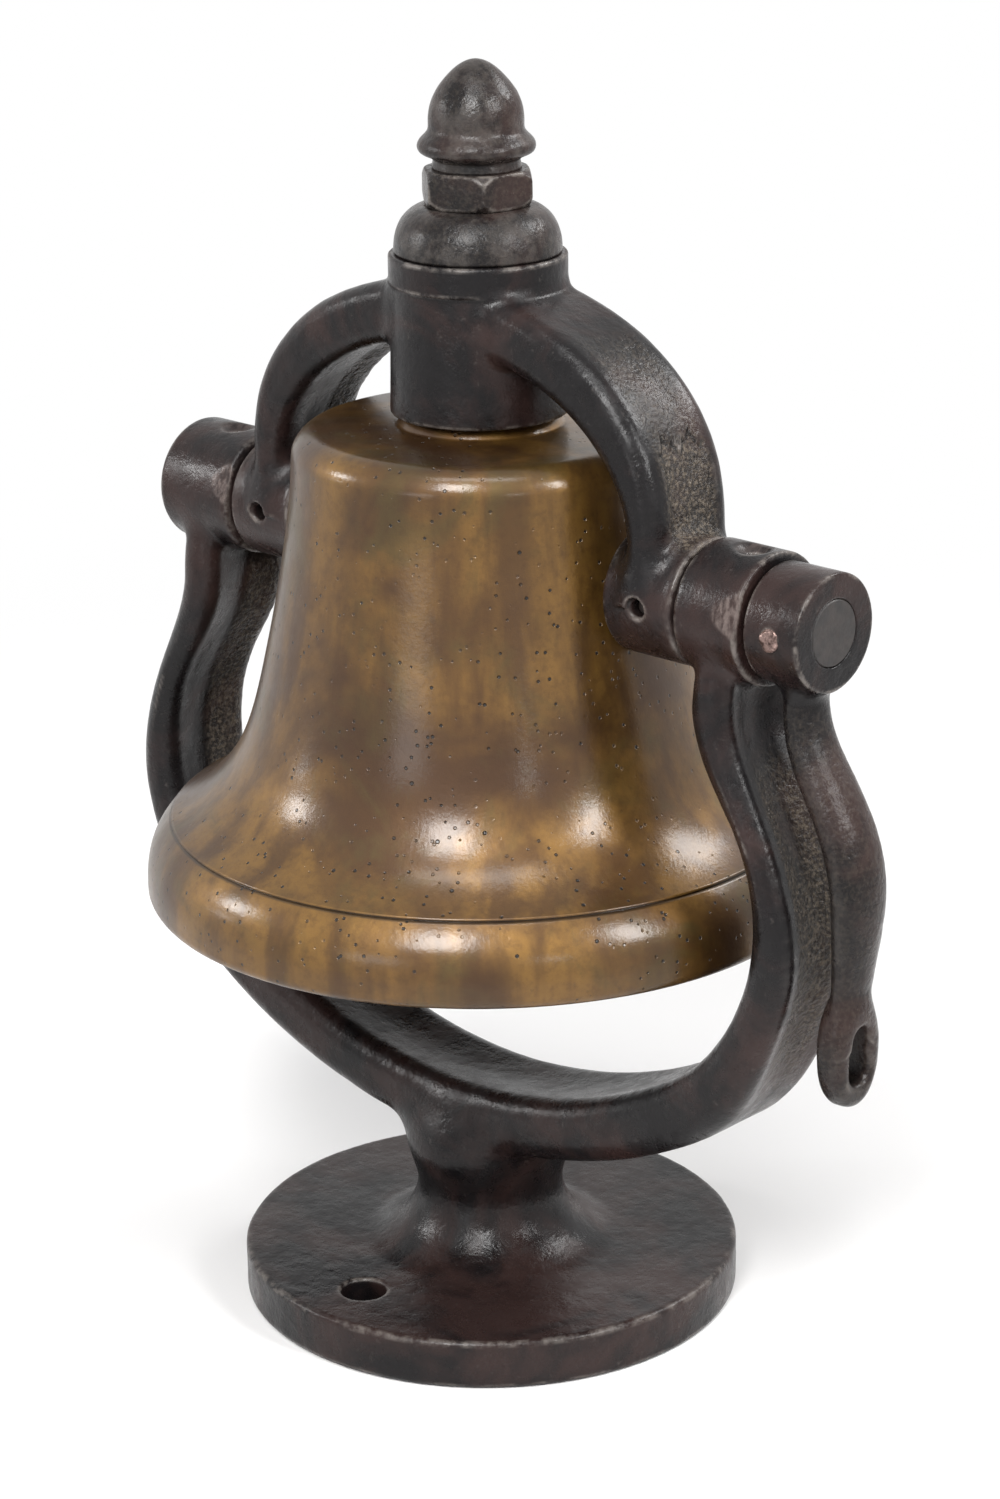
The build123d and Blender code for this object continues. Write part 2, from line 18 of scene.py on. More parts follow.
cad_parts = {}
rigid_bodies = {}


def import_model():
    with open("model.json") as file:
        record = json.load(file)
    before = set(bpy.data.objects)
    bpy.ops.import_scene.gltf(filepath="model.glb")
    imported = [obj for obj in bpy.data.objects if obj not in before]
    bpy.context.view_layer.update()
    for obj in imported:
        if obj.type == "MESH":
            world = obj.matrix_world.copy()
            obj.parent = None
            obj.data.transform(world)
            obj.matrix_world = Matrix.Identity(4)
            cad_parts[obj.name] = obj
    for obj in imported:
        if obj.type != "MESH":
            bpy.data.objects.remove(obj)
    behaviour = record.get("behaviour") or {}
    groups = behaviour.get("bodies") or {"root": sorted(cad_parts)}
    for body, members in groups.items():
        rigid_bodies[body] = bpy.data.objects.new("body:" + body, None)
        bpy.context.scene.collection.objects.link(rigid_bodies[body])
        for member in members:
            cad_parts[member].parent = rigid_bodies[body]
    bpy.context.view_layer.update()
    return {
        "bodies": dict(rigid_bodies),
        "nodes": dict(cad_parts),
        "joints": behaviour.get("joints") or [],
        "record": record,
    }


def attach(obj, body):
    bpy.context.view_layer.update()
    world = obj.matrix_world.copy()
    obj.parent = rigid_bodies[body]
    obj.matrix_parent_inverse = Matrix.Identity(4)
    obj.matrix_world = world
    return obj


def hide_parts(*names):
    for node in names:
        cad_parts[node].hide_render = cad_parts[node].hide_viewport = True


LOG = logging.getLogger("locomotive_bell")

METRE = 0.001
AXIS_HEIGHT = 295.0

Grid = np.ndarray
Field = Callable[[Grid, Grid, Grid], Grid]


class Body(Enum):
    """The moving bodies of the bell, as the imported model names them."""

    STAND = "stand"
    SWINGING = "bell_and_yoke"
    CLAPPER = "clapper"


def ease(low: float, high: float, value: Grid) -> Grid:
    """Rise smoothly from 0 to 1 between two values.

    Args:
        low: The value where the rise starts.
        high: The value where it ends.
        value: The numbers to map.

    Returns:
        Numbers from 0 to 1.
    """
    part = np.clip((value - low) / (high - low), 0.0, 1.0)
    return part * part * (3.0 - 2.0 * part)


def weld(first: Grid, second: Grid, fillet: float) -> Grid:
    """Join two distance fields with a casting fillet in the corner between them.

    Args:
        first: Distances to one form.
        second: Distances to the other form.
        fillet: Size of the fillet.

    Returns:
        Distances to the joined form.
    """
    near = np.maximum(fillet - np.abs(first - second), 0.0) / fillet
    return np.minimum(first, second) - near * near * fillet * 0.25


def carve(first: Grid, tool: Grid, rounding: float) -> Grid:
    """Take one form out of another and round the edge that is left.

    Args:
        first: Distances to the form that stays.
        tool: Distances to the form that is taken out.
        rounding: Size of the rounding.

    Returns:
        Distances to what is left.
    """
    return -weld(-first, tool, rounding)


def shared(first: Grid, second: Grid, rounding: float) -> Grid:
    """Keep what two forms have in common, with a rounded edge.

    Args:
        first: Distances to one form.
        second: Distances to the other form.
        rounding: Size of the rounding.

    Returns:
        Distances to the common form.
    """
    return -weld(-first, -second, rounding)


def rounded_slab(across: Grid, along: Grid, rounding: float) -> Grid:
    """Combine the distances from two pairs of faces into a bar with rounded edges.

    Args:
        across: Distances from the first pair of faces.
        along: Distances from the second pair of faces.
        rounding: Radius of the edges.

    Returns:
        Distances to the bar.
    """
    first = across + rounding
    second = along + rounding
    outside = np.hypot(np.maximum(first, 0.0), np.maximum(second, 0.0))
    return outside + np.minimum(np.maximum(first, second), 0.0) - rounding


def between(low: float, high: float, value: Grid) -> Grid:
    """Measure the distance to the space between two parallel faces.

    Args:
        low: Place of the first face.
        high: Place of the second face.
        value: Places of the points along the same line.

    Returns:
        Distances, below 0 between the faces.
    """
    return np.abs(value - (low + high) / 2) - (high - low) / 2


def smooth_curve(
    points: Sequence[tuple[float, float]],
    steps: int,
    start: tuple[float, float] | None = None,
    end: tuple[float, float] | None = None,
) -> Grid:
    """Pass a curve of even curvature through points.

    Args:
        points: The points, in order.
        steps: Number of short lines between two neighbouring points.
        start: Direction at the first point, or None to leave it free.
        end: Direction at the last point, or None to leave it free.

    Returns:
        The curve's points, one per row.
    """
    knots = np.asarray(points, float)
    span = np.linalg.norm(np.diff(knots, axis=0), axis=1)
    count = len(knots)
    system = np.zeros((count, count))
    target = np.zeros((count, 2))
    for i in range(1, count - 1):
        before, after = span[i - 1], span[i]
        system[i, i - 1 : i + 2] = after, 2.0 * (before + after), before
        left = after * (knots[i] - knots[i - 1]) / before
        right = before * (knots[i + 1] - knots[i]) / after
        target[i] = 3.0 * (left + right)
    for row, neighbour, direction in ((0, 1, start), (count - 1, count - 2, end)):
        system[row, row] = 1.0
        if direction is not None:
            target[row] = np.asarray(direction, float) / np.hypot(*direction)
            continue
        system[row, neighbour] = 0.5
        length = span[min(row, neighbour)]
        target[row] = 1.5 * (knots[neighbour] - knots[row]) / length * (1 if row == 0 else -1)
    slopes = np.linalg.solve(system, target)
    part = np.linspace(0.0, 1.0, steps, endpoint=False)[:, None]
    rows = []
    for i in range(count - 1):
        rise = part * part * (3.0 - 2.0 * part)
        leave = part * (1.0 - part) ** 2 * span[i]
        arrive = part * part * (part - 1.0) * span[i]
        rows.append(knots[i] + (knots[i + 1] - knots[i]) * rise + slopes[i] * leave + slopes[i + 1] * arrive)
    rows.append(knots[-1:])
    return np.vstack(rows)


def arc_points(radius: float, first: float, last: float, steps: int) -> Grid:
    """Sample an arc about the trunnion axis in the XZ plane.

    Args:
        radius: Radius of the arc.
        first: Angle of the first point from straight down, in degrees.
        last: Angle of the last point, in degrees.
        steps: Number of short lines.

    Returns:
        Points as rows of x and z.
    """
    angles = np.radians(np.linspace(first, last, steps + 1))
    return np.column_stack([radius * np.sin(angles), AXIS_HEIGHT - radius * np.cos(angles)])


class Outline:
    """Distance to a flat outline, worked out once on a fine grid and read between its points."""

    def __init__(self, faces: Sequence[Grid], closed: Grid, pitch: float = 1.0, margin: float = 24.0) -> None:
        """Work out the grid.

        Args:
            faces: The open curves that the form's surface follows.
            closed: The closed outline that says what is inside.
            pitch: Spacing of the grid.
            margin: How far the grid reaches past the outline.
        """
        self.pitch = pitch
        self.low = closed.min(axis=0) - margin
        size = np.ceil((closed.max(axis=0) + margin - self.low) / pitch).astype(int) + 1
        u = self.low[0] + pitch * np.arange(size[0])[:, None] + np.zeros(size)
        v = self.low[1] + pitch * np.arange(size[1])[None, :] + np.zeros(size)
        nearest = np.full(tuple(size), 1e9)
        for face in faces:
            for (u0, v0), (u1, v1) in zip(face[:-1], face[1:]):
                du, dv = u1 - u0, v1 - v0
                part = np.clip(((u - u0) * du + (v - v0) * dv) / (du * du + dv * dv + 1e-12), 0.0, 1.0)
                square = (u - u0 - part * du) ** 2 + (v - v0 - part * dv) ** 2
                np.minimum(nearest, square, out=nearest)
        inside = np.zeros(tuple(size), bool)
        ring = np.vstack([closed, closed[:1]])
        for (u0, v0), (u1, v1) in zip(ring[:-1], ring[1:]):
            if v0 == v1:
                continue
            crosses = (v0 > v) != (v1 > v)
            inside ^= crosses & (u < u0 + (v - v0) * (u1 - u0) / (v1 - v0))
        self.table = np.sqrt(nearest) * np.where(inside, -1.0, 1.0)

    def __call__(self, u: Grid, v: Grid) -> Grid:
        """Read the distance at points of the plane.

        Args:
            u: First coordinates.
            v: Second coordinates.

        Returns:
            Distances, below 0 inside.
        """
        rows, columns = self.table.shape
        across = np.clip((u - self.low[0]) / self.pitch, 0.0, rows - 1.001)
        along = np.clip((v - self.low[1]) / self.pitch, 0.0, columns - 1.001)
        i = across.astype(int)
        j = along.astype(int)
        s = across - i
        t = along - j
        near = self.table[i, j] * (1.0 - t) + self.table[i, j + 1] * t
        far = self.table[i + 1, j] * (1.0 - t) + self.table[i + 1, j + 1] * t
        return near * (1.0 - s) + far * s


class Grain:
    """Smooth repeatable unevenness in space."""

    def __init__(self, seed: int) -> None:
        """Fill the table of random heights."""
        self.heights = np.random.default_rng(seed).uniform(-1.0, 1.0, (64, 64, 64))

    def at(self, points: Grid, size: float) -> Grid:
        """Read one layer of unevenness.

        Args:
            points: Points, one per row.
            size: Width of one bump.

        Returns:
            A height from -1 to 1 for each point.
        """
        place = points / size + 1000.0
        whole = np.floor(place).astype(int)
        part = place - whole
        part = part * part * (3.0 - 2.0 * part)
        total = np.zeros(len(points))
        for corner in range(8):
            step = np.array([corner & 1, corner >> 1 & 1, corner >> 2 & 1])
            weight = np.prod(np.where(step, part, 1.0 - part), axis=1)
            i, j, k = ((whole + step) & 63).T
            total += weight * self.heights[i, j, k]
        return total

    def layers(self, points: Grid, size: float, count: int) -> Grid:
        """Add layers that get finer and weaker.

        Args:
            points: Points, one per row.
            size: Width of the largest bumps.
            count: Number of layers.

        Returns:
            A height of about -1 to 1 for each point.
        """
        total = np.zeros(len(points))
        for layer in range(count):
            total += self.at(points + 17.3 * layer, size / 2**layer) / 2**layer
        return total / (2.0 - 0.5 ** (count - 1))


@dataclass(frozen=True)
class Skin:
    """A closed quad mesh laid over a distance field.

    Attributes:
        step: Spacing of the lattice that the mesh is drawn from.
        cells: Number of cells along one side of a block.
    """

    step: float
    cells: int = 8

    def wrap(self, form: Field, low: Sequence[float], high: Sequence[float]) -> tuple[Grid, Grid]:
        """Mesh the surface where the field is zero.

        Args:
            form: The distance field.
            low: Lowest corner of the space that holds the form.
            high: Highest corner.

        Returns:
            Vertices, and quads as rows of four vertex numbers.
        """
        low = np.asarray(low, float)
        side = self.step * self.cells
        blocks = np.ceil((np.asarray(high, float) - low) / side).astype(int)
        corner = np.stack(np.meshgrid(*map(np.arange, blocks), indexing="ij"), axis=-1).reshape(-1, 3)
        middle = low + (corner + 0.5) * side
        keep = np.abs(form(*middle.T)) < side * 1.35
        corner = corner[keep]
        inner = np.arange(self.cells + 1)
        x = low[0] + self.step * (corner[:, 0, None] * self.cells + inner)[:, :, None, None]
        y = low[1] + self.step * (corner[:, 1, None] * self.cells + inner)[:, None, :, None]
        z = low[2] + self.step * (corner[:, 2, None] * self.cells + inner)[:, None, None, :]
        shape = (len(corner),) + (self.cells + 1,) * 3
        value = np.broadcast_to(form(x, y, z), shape)
        count = self.cells
        corners = []
        for bit in range(8):
            i, j, k = bit & 1, bit >> 1 & 1, bit >> 2 & 1
            corners.append(value[:, i : i + count, j : j + count, k : k + count])
        under = sum((part < 0.0).astype(np.int8) for part in corners)
        cell = np.argwhere((under > 0) & (under < 8))
        held = np.stack([part[tuple(cell.T)] for part in corners], axis=1)
        total = np.zeros((len(cell), 3))
        crossings = np.zeros(len(cell))
        for first in range(8):
            for axis in range(3):
                second = first | 1 << axis
                if second == first:
                    continue
                a, b = held[:, first], held[:, second]
                crossed = (a < 0.0) != (b < 0.0)
                part = np.where(crossed, a / np.where(crossed, a - b, 1.0), 0.0)
                spot = np.array([first & 1, first >> 1 & 1, first >> 2 & 1], float)
                found = np.tile(spot, (len(cell), 1))
                found[:, axis] += part
                total += found * crossed[:, None]
                crossings += crossed
        place = corner[cell[:, 0]] * count + cell[:, 1:]
        points = low + self.step * (place + total / crossings[:, None])
        span = blocks * count + 3
        names = self._name(place, span)
        order = np.argsort(names)
        quads = [self._quads(value, corner, axis, names[order], order, span) for axis in range(3)]
        return points, np.vstack(quads)

    @staticmethod
    def _name(place: Grid, span: Grid) -> Grid:
        """Number a cell by its place in the whole lattice."""
        place = place + 1
        return (place[..., 0] * span[1] + place[..., 1]) * span[2] + place[..., 2]

    def _quads(self, value: Grid, corner: Grid, axis: int, names: Grid, order: Grid, span: Grid) -> Grid:
        """Make the quads round the lattice edges that run along one axis.

        Args:
            value: The field in every block.
            corner: Place of each block.
            axis: 0, 1 or 2.
            names: Sorted numbers of the cells that hold a vertex.
            order: The vertex of each sorted number.
            span: Size of the whole lattice.

        Returns:
            Quads as rows of four vertex numbers.
        """
        count = self.cells
        ahead = [slice(0, count)] * 3
        ahead[axis] = slice(1, count + 1)
        here = value[:, :count, :count, :count]
        there = value[(slice(None), *ahead)]
        edge = np.argwhere((here < 0.0) != (there < 0.0))
        leaving = here[tuple(edge.T)] < 0.0
        place = corner[edge[:, 0]] * count + edge[:, 1:]
        first, second = (axis + 1) % 3, (axis + 2) % 3
        ring = []
        for back, down in ((1, 1), (0, 1), (0, 0), (1, 0)):
            cell = place.copy()
            cell[:, first] -= back
            cell[:, second] -= down
            ring.append(order[np.searchsorted(names, self._name(cell, span))])
        quads = np.stack(ring, axis=1)
        quads[~leaving] = quads[~leaving, ::-1]
        return quads


@dataclass
class Shell:
    """A mesh in the making: its points, quads and the numbers that its finish reads.

    Attributes:
        points: Vertices in millimetres.
        quads: Rows of vertex numbers.
        marks: Named numbers, one per vertex.
    """

    points: Grid
    quads: Grid
    marks: dict[str, Grid]

    def to_object(self, name: str) -> bpy.types.Object:
        """Write the mesh and put it in the scene.

        Args:
            name: Name of the object.

        Returns:
            The new object.
        """
        mesh = bpy.data.meshes.new(name)
        mesh.vertices.add(len(self.points))
        mesh.vertices.foreach_set("co", (self.points * METRE).astype(np.float32).ravel())
        mesh.loops.add(self.quads.size)
        mesh.loops.foreach_set("vertex_index", self.quads.astype(np.int32).ravel())
        mesh.polygons.add(len(self.quads))
        mesh.polygons.foreach_set("loop_start", np.arange(0, self.quads.size, 4, dtype=np.int32))
        mesh.update(calc_edges=True)
        mesh.validate()
        mesh.shade_smooth()
        for mark, numbers in self.marks.items():
            layer = mesh.attributes.new(mark, "FLOAT", "POINT")
            layer.data.foreach_set("value", numbers.astype(np.float32))
        piece = bpy.data.objects.new(name, mesh)
        bpy.context.scene.collection.objects.link(piece)
        return piece


@dataclass(frozen=True)
class Casting:
    """How a rough casting is meshed and roughened.

    Attributes:
        step: Spacing of the mesh.
        seed: Start of the random unevenness.
        wobble: Height of the long waves left by the mould.
        skin: Height of the fine sand texture.
        bend_reach: How far from a point its bend is measured.
    """

    step: float
    seed: int
    wobble: float = 0.35
    skin: float = 0.06
    bend_reach: float = 1.3

    def cast(
        self,
        form: Field,
        low: Sequence[float],
        high: Sequence[float],
        rough: Field | None = None,
        machined: Field | None = None,
        filed: Field | None = None,
    ) -> Shell:
        """Mesh a field and give it a cast surface.

        Args:
            form: The distance field.
            low: Lowest corner of the space that holds it.
            high: Highest corner.
            rough: How coarse the sand texture is, from 0 to 1. None here and below means nowhere.
            machined: How far a place is machined, from 0 to 1, and so kept true.
            filed: How far a place is filed or rubbed to the metal, from 0 to 1.

        Returns:
            The mesh with the marks that its finish reads.
        """
        points, quads = Skin(self.step).wrap(form, low, high)
        for _ in range(3):
            slope, _ = self._slope(form, points, self.step * 0.4)
            size = np.maximum((slope**2).sum(axis=1), 0.2)
            move = form(*points.T) / size
            points = points - slope * np.clip(move, -self.step, self.step)[:, None]
        slope, bend = self._slope(form, points, self.bend_reach)
        normal = slope / np.maximum(np.linalg.norm(slope, axis=1), 1e-6)[:, None]
        grain = Grain(self.seed)
        coarse = self._read(rough, points)
        true = self._read(machined, points)
        free = 1.0 - true
        waves = grain.layers(points, 46.0, 3) * self.wobble
        lumps = grain.layers(points + 150.0, 13.0, 2) * self.wobble * 0.3
        sand = grain.layers(points + 300.0, 4.5, 2) * self.skin
        pebble = (np.abs(grain.at(points + 90.0, 3.1)) + 0.6 * grain.at(points, 2.0)) * 0.4
        lift = (waves + lumps + sand) * free + (pebble - 0.12) * coarse * free
        points = points + normal * lift[:, None]
        marks = {
            "wear": 0.8 * ease(0.12, 0.6, bend) * (1.0 - ease(0.93, 0.99, true)),
            # hollow: how concave a place is; the iron finish paints shade there.
            "hollow": ease(0.06, 0.45, -bend),
            "rough": coarse,
            "machined": true,
            "filed": self._read(filed, points),
        }
        return Shell(points, quads, marks)

    @staticmethod
    def _read(field: Field | None, points: Grid) -> Grid:
        """Read a field at each point, or nought where there is none.

        Args:
            field: The field, or None.
            points: Points, one per row.

        Returns:
            A number for each point.
        """
        if field is None:
            return np.zeros(len(points))
        return np.broadcast_to(field(*points.T), len(points)).astype(float)

    @staticmethod
    def _slope(form: Field, points: Grid, reach: float) -> tuple[Grid, Grid]:
        """Measure how a field changes about each point.

        Args:
            form: The distance field.
            points: Points, one per row.
            reach: How far from the point to look.

        Returns:
            The slope at each point and the bend of the surface there.
        """
        slope = np.zeros_like(points)
        total = -6.0 * form(*points.T)
        for axis in range(3):
            shift = np.zeros(3)
            shift[axis] = reach
            after = form(*(points + shift).T)
            before = form(*(points - shift).T)
            slope[:, axis] = (after - before) / (2.0 * reach)
            total = total + after + before
        return slope, total / (reach * reach)


def lathe(profile: Grid, segments: int) -> tuple[Grid, Grid]:
    """Turn a profile round the Z axis.

    Args:
        profile: Rows of radius and height, from the axis or an inner edge round to the same place.
        segments: Number of faces round the piece.

    Returns:
        Vertices and quads. The profile's ends are joined to each other.
    """
    angles = np.linspace(0.0, 2.0 * math.pi, segments, endpoint=False)
    radius = profile[:, 0]
    x = radius[None, :] * np.cos(angles)[:, None]
    y = radius[None, :] * np.sin(angles)[:, None]
    z = np.broadcast_to(profile[:, 1], x.shape)
    points = np.stack([x, y, z], axis=-1).reshape(-1, 3)
    rows = len(profile)
    i = np.arange(segments)[:, None]
    j = np.arange(rows)[None, :]
    ahead = (i + 1) % segments
    above = (j + 1) % rows
    quads = np.stack([i * rows + j, ahead * rows + j, ahead * rows + above, i * rows + above], axis=-1)
    return points, quads.reshape(-1, 4)


def dense(profile: Grid, spacing: float) -> Grid:
    """Put points along a line at an even spacing, and keep its corners.

    Args:
        profile: Rows of two coordinates.
        spacing: Largest distance between two points.

    Returns:
        The denser line.
    """
    rows = [profile[:1]]
    for start, end in zip(profile[:-1], profile[1:]):
        count = max(1, math.ceil(float(np.linalg.norm(end - start)) / spacing))
        part = np.linspace(0.0, 1.0, count + 1)[1:, None]
        rows.append(start + (end - start) * part)
    return np.vstack(rows)


class Recipe:
    """Short words for building a material's nodes."""

    def __init__(self, name: str) -> None:
        """Start a material with one shader.

        Args:
            name: Name of the material.
        """
        self.material = bpy.data.materials.new(name)
        self.material.use_nodes = True
        self.tree = self.material.node_tree
        self.tree.nodes.clear()
        self.output = self.tree.nodes.new("ShaderNodeOutputMaterial")
        self.shader = self.tree.nodes.new("ShaderNodeBsdfPrincipled")
        self.tree.links.new(self.shader.outputs["BSDF"], self.output.inputs["Surface"])
        self.place = self.tree.nodes.new("ShaderNodeTexCoord").outputs["Object"]

    def feed(self, socket: bpy.types.NodeSocket, value: object) -> None:
        """Link a socket to an output, or set it to a plain value.

        Args:
            socket: The socket.
            value: An output, a plain value, or None to leave the socket alone.
        """
        if isinstance(value, bpy.types.NodeSocket):
            self.tree.links.new(value, socket)
        elif value is not None:
            socket.default_value = value

    def noise(
        self,
        size: float,
        detail: float = 4.0,
        roughness: float = 0.55,
        distortion: float = 0.0,
        stretch: tuple[float, float, float] = (1.0, 1.0, 1.0),
    ) -> bpy.types.NodeSocket:
        """Make a noise pattern.

        Args:
            size: Width of its largest patches in millimetres.
            detail: Number of finer layers.
            roughness: Strength of the finer layers.
            distortion: How far it is twisted.
            stretch: Scale along each axis.

        Returns:
            The pattern, from 0 to 1.
        """
        mapping = self.tree.nodes.new("ShaderNodeMapping")
        self.feed(mapping.inputs["Vector"], self.place)
        mapping.inputs["Scale"].default_value = stretch
        node = self.tree.nodes.new("ShaderNodeTexNoise")
        self.feed(node.inputs["Vector"], mapping.outputs["Vector"])
        node.inputs["Scale"].default_value = 1000.0 / size
        node.inputs["Detail"].default_value = detail
        node.inputs["Roughness"].default_value = roughness
        node.inputs["Distortion"].default_value = distortion
        return node.outputs["Fac"]

    def cells(self, size: float) -> bpy.types.NodeSocket:
        """Make a pattern of scattered points and return the distance from the nearest.

        Args:
            size: Mean distance between points in millimetres.

        Returns:
            The distance, in parts of the size.
        """
        node = self.tree.nodes.new("ShaderNodeTexVoronoi")
        self.feed(node.inputs["Vector"], self.place)
        node.inputs["Scale"].default_value = 1000.0 / size
        return node.outputs["Distance"]

    def mark(self, name: str) -> bpy.types.NodeSocket:
        """Read a number stored on the mesh.

        Args:
            name: The number's name.

        Returns:
            The number.
        """
        node = self.tree.nodes.new("ShaderNodeAttribute")
        node.attribute_name = name
        return node.outputs["Fac"]

    def span(
        self, value: object, low: float, high: float, start: float = 0.0, end: float = 1.0
    ) -> bpy.types.NodeSocket:
        """Map a range of numbers to another, smoothly and within its ends.

        Args:
            value: The numbers.
            low: Where the range starts.
            high: Where it ends.
            start: What the low end becomes.
            end: What the high end becomes.

        Returns:
            The mapped numbers.
        """
        node = self.tree.nodes.new("ShaderNodeMapRange")
        node.interpolation_type = "SMOOTHSTEP"
        self.feed(node.inputs["Value"], value)
        for socket, number in zip(("From Min", "From Max", "To Min", "To Max"), (low, high, start, end)):
            node.inputs[socket].default_value = number
        return node.outputs["Result"]

    def sum(self, operation: str, first: object, second: object) -> bpy.types.NodeSocket:
        """Do one sum on two numbers.

        Args:
            operation: Blender's name of the sum.
            first: First number.
            second: Second number.

        Returns:
            The result.
        """
        node = self.tree.nodes.new("ShaderNodeMath")
        node.operation = operation
        self.feed(node.inputs[0], first)
        self.feed(node.inputs[1], second)
        return node.outputs[0]

    def blend(self, share: object, first: object, second: object) -> bpy.types.NodeSocket:
        """Mix two colours.

        Args:
            share: How much of the second.
            first: First colour.
            second: Second colour.

        Returns:
            The mixed colour.
        """
        node = self.tree.nodes.new("ShaderNodeMix")
        node.data_type = "RGBA"
        self.feed(node.inputs[0], share)
        self.feed(node.inputs[6], self._colour(first))
        self.feed(node.inputs[7], self._colour(second))
        return node.outputs[2]

    @staticmethod
    def _colour(value: object) -> object:
        """Add the alpha that a colour socket wants."""
        return (*value, 1.0) if isinstance(value, tuple) and len(value) == 3 else value

    def bump(self, height: object, depth: float, under: object = None) -> bpy.types.NodeSocket:
        """Turn heights into a bumpy surface.

        Args:
            height: The heights.
            depth: What a height of 1 is worth in millimetres.
            under: A bump that lies beneath.

        Returns:
            The surface direction.
        """
        node = self.tree.nodes.new("ShaderNodeBump")
        node.inputs["Distance"].default_value = depth * METRE
        node.inputs["Strength"].default_value = 1.0
        self.feed(node.inputs["Height"], height)
        self.feed(node.inputs["Normal"], under)
        return node.outputs["Normal"]

    def finish(self, **sockets: object) -> bpy.types.Material:
        """Set the shader's sockets and hand the material over.

        Args:
            **sockets: Values by the socket's name, in lower case with underscores.

        Returns:
            The finished material.
        """
        for name, value in sockets.items():
            title = name.replace("_", " ").title().replace("Ior", "IOR")
            self.feed(self.shader.inputs[title], self._colour(value))
        return self.material


@dataclass(frozen=True)
class OldIron:
    """Cast iron under a dark waxed coat, smooth where hands reach and sandy in the hollows, with painted
    shade in its corners and painted light on its sandy patches.

    Attributes:
        name: Name of the material.
        coat: Colour of the dark coat.
        warm: Colour of its brown and purple patches.
        bare: Colour of the rubbed edges.
        dust_and_painted_light: Colour of the dust in the sandy hollows, which also stands in as painted light
            on those patches.
        filed: Colour of the metal under a file's strokes.
        corner: Colour of the painted shade in the deep corners and creases.
        gloss: Roughness of the smooth coat.
    """

    name: str
    coat: tuple[float, float, float] = (0.0056, 0.0048, 0.0052)
    warm: tuple[float, float, float] = (0.024, 0.0135, 0.012)
    bare: tuple[float, float, float] = (0.17, 0.15, 0.135)
    dust_and_painted_light: tuple[float, float, float] = (0.125, 0.1, 0.074)
    filed: tuple[float, float, float] = (0.11, 0.085, 0.077)
    corner: tuple[float, float, float] = (0.005, 0.0045, 0.0045)
    gloss: float = 0.25

    def make(self) -> bpy.types.Material:
        """Build the material.

        Returns:
            The material.
        """
        recipe = Recipe(self.name)
        rough = recipe.mark("rough")
        patches = recipe.span(recipe.noise(42.0, 5.0, 0.6, 0.6), 0.4, 0.64)
        colour = recipe.blend(patches, self.coat, self.warm)
        speck = recipe.span(recipe.noise(3.2, 5.0, 0.7), 0.6, 0.74)
        worn = recipe.span(recipe.noise(9.0, 6.0, 0.7), 0.42, 0.62)
        rub = recipe.sum("MULTIPLY", recipe.mark("wear"), worn)
        bare = recipe.sum("MAXIMUM", recipe.sum("MULTIPLY", rub, 0.8), recipe.sum("MULTIPLY", speck, 0.16))
        colour = recipe.blend(bare, colour, self.bare)
        grit = recipe.span(recipe.noise(1.5, 3.0, 0.6), 0.42, 0.68, 0.12)
        grit = recipe.sum("MULTIPLY", rough, grit)
        # Dust on the sandy patches, lighter than the coat; partly painted light, where those patches catch
        # the lamps.
        colour = recipe.blend(recipe.sum("MULTIPLY", grit, 0.75), colour, self.dust_and_painted_light)
        strokes = recipe.span(recipe.noise(2.2, 5.0, 0.6, 0.0, (1.0, 0.2, 0.45)), 0.38, 0.62, 0.12, 1.0)
        colour = recipe.blend(recipe.sum("MULTIPLY", recipe.mark("filed"), strokes), colour, self.filed)
        # Painted shade: concave places, by the 'hollow' mark, are darkened towards the corner colour.
        colour = recipe.blend(recipe.sum("MULTIPLY", recipe.mark("hollow"), 0.8), colour, self.corner)
        shine = recipe.span(recipe.noise(12.0, 6.0, 0.7), 0.3, 0.7, self.gloss - 0.07, self.gloss + 0.14)
        shine = recipe.sum("ADD", shine, recipe.sum("MULTIPLY", rough, 0.05))
        fine = recipe.bump(recipe.noise(1.4, 4.0, 0.65), 0.11)
        sand = recipe.bump(recipe.sum("MULTIPLY", recipe.noise(1.6, 3.0, 0.55), rough), 1.3, fine)
        dents = recipe.bump(recipe.noise(6.0, 4.0, 0.6), 0.42, sand)
        return recipe.finish(
            base_color=colour,
            roughness=shine,
            normal=dents,
            metallic=0.0,
            specular_ior_level=0.22,
        )


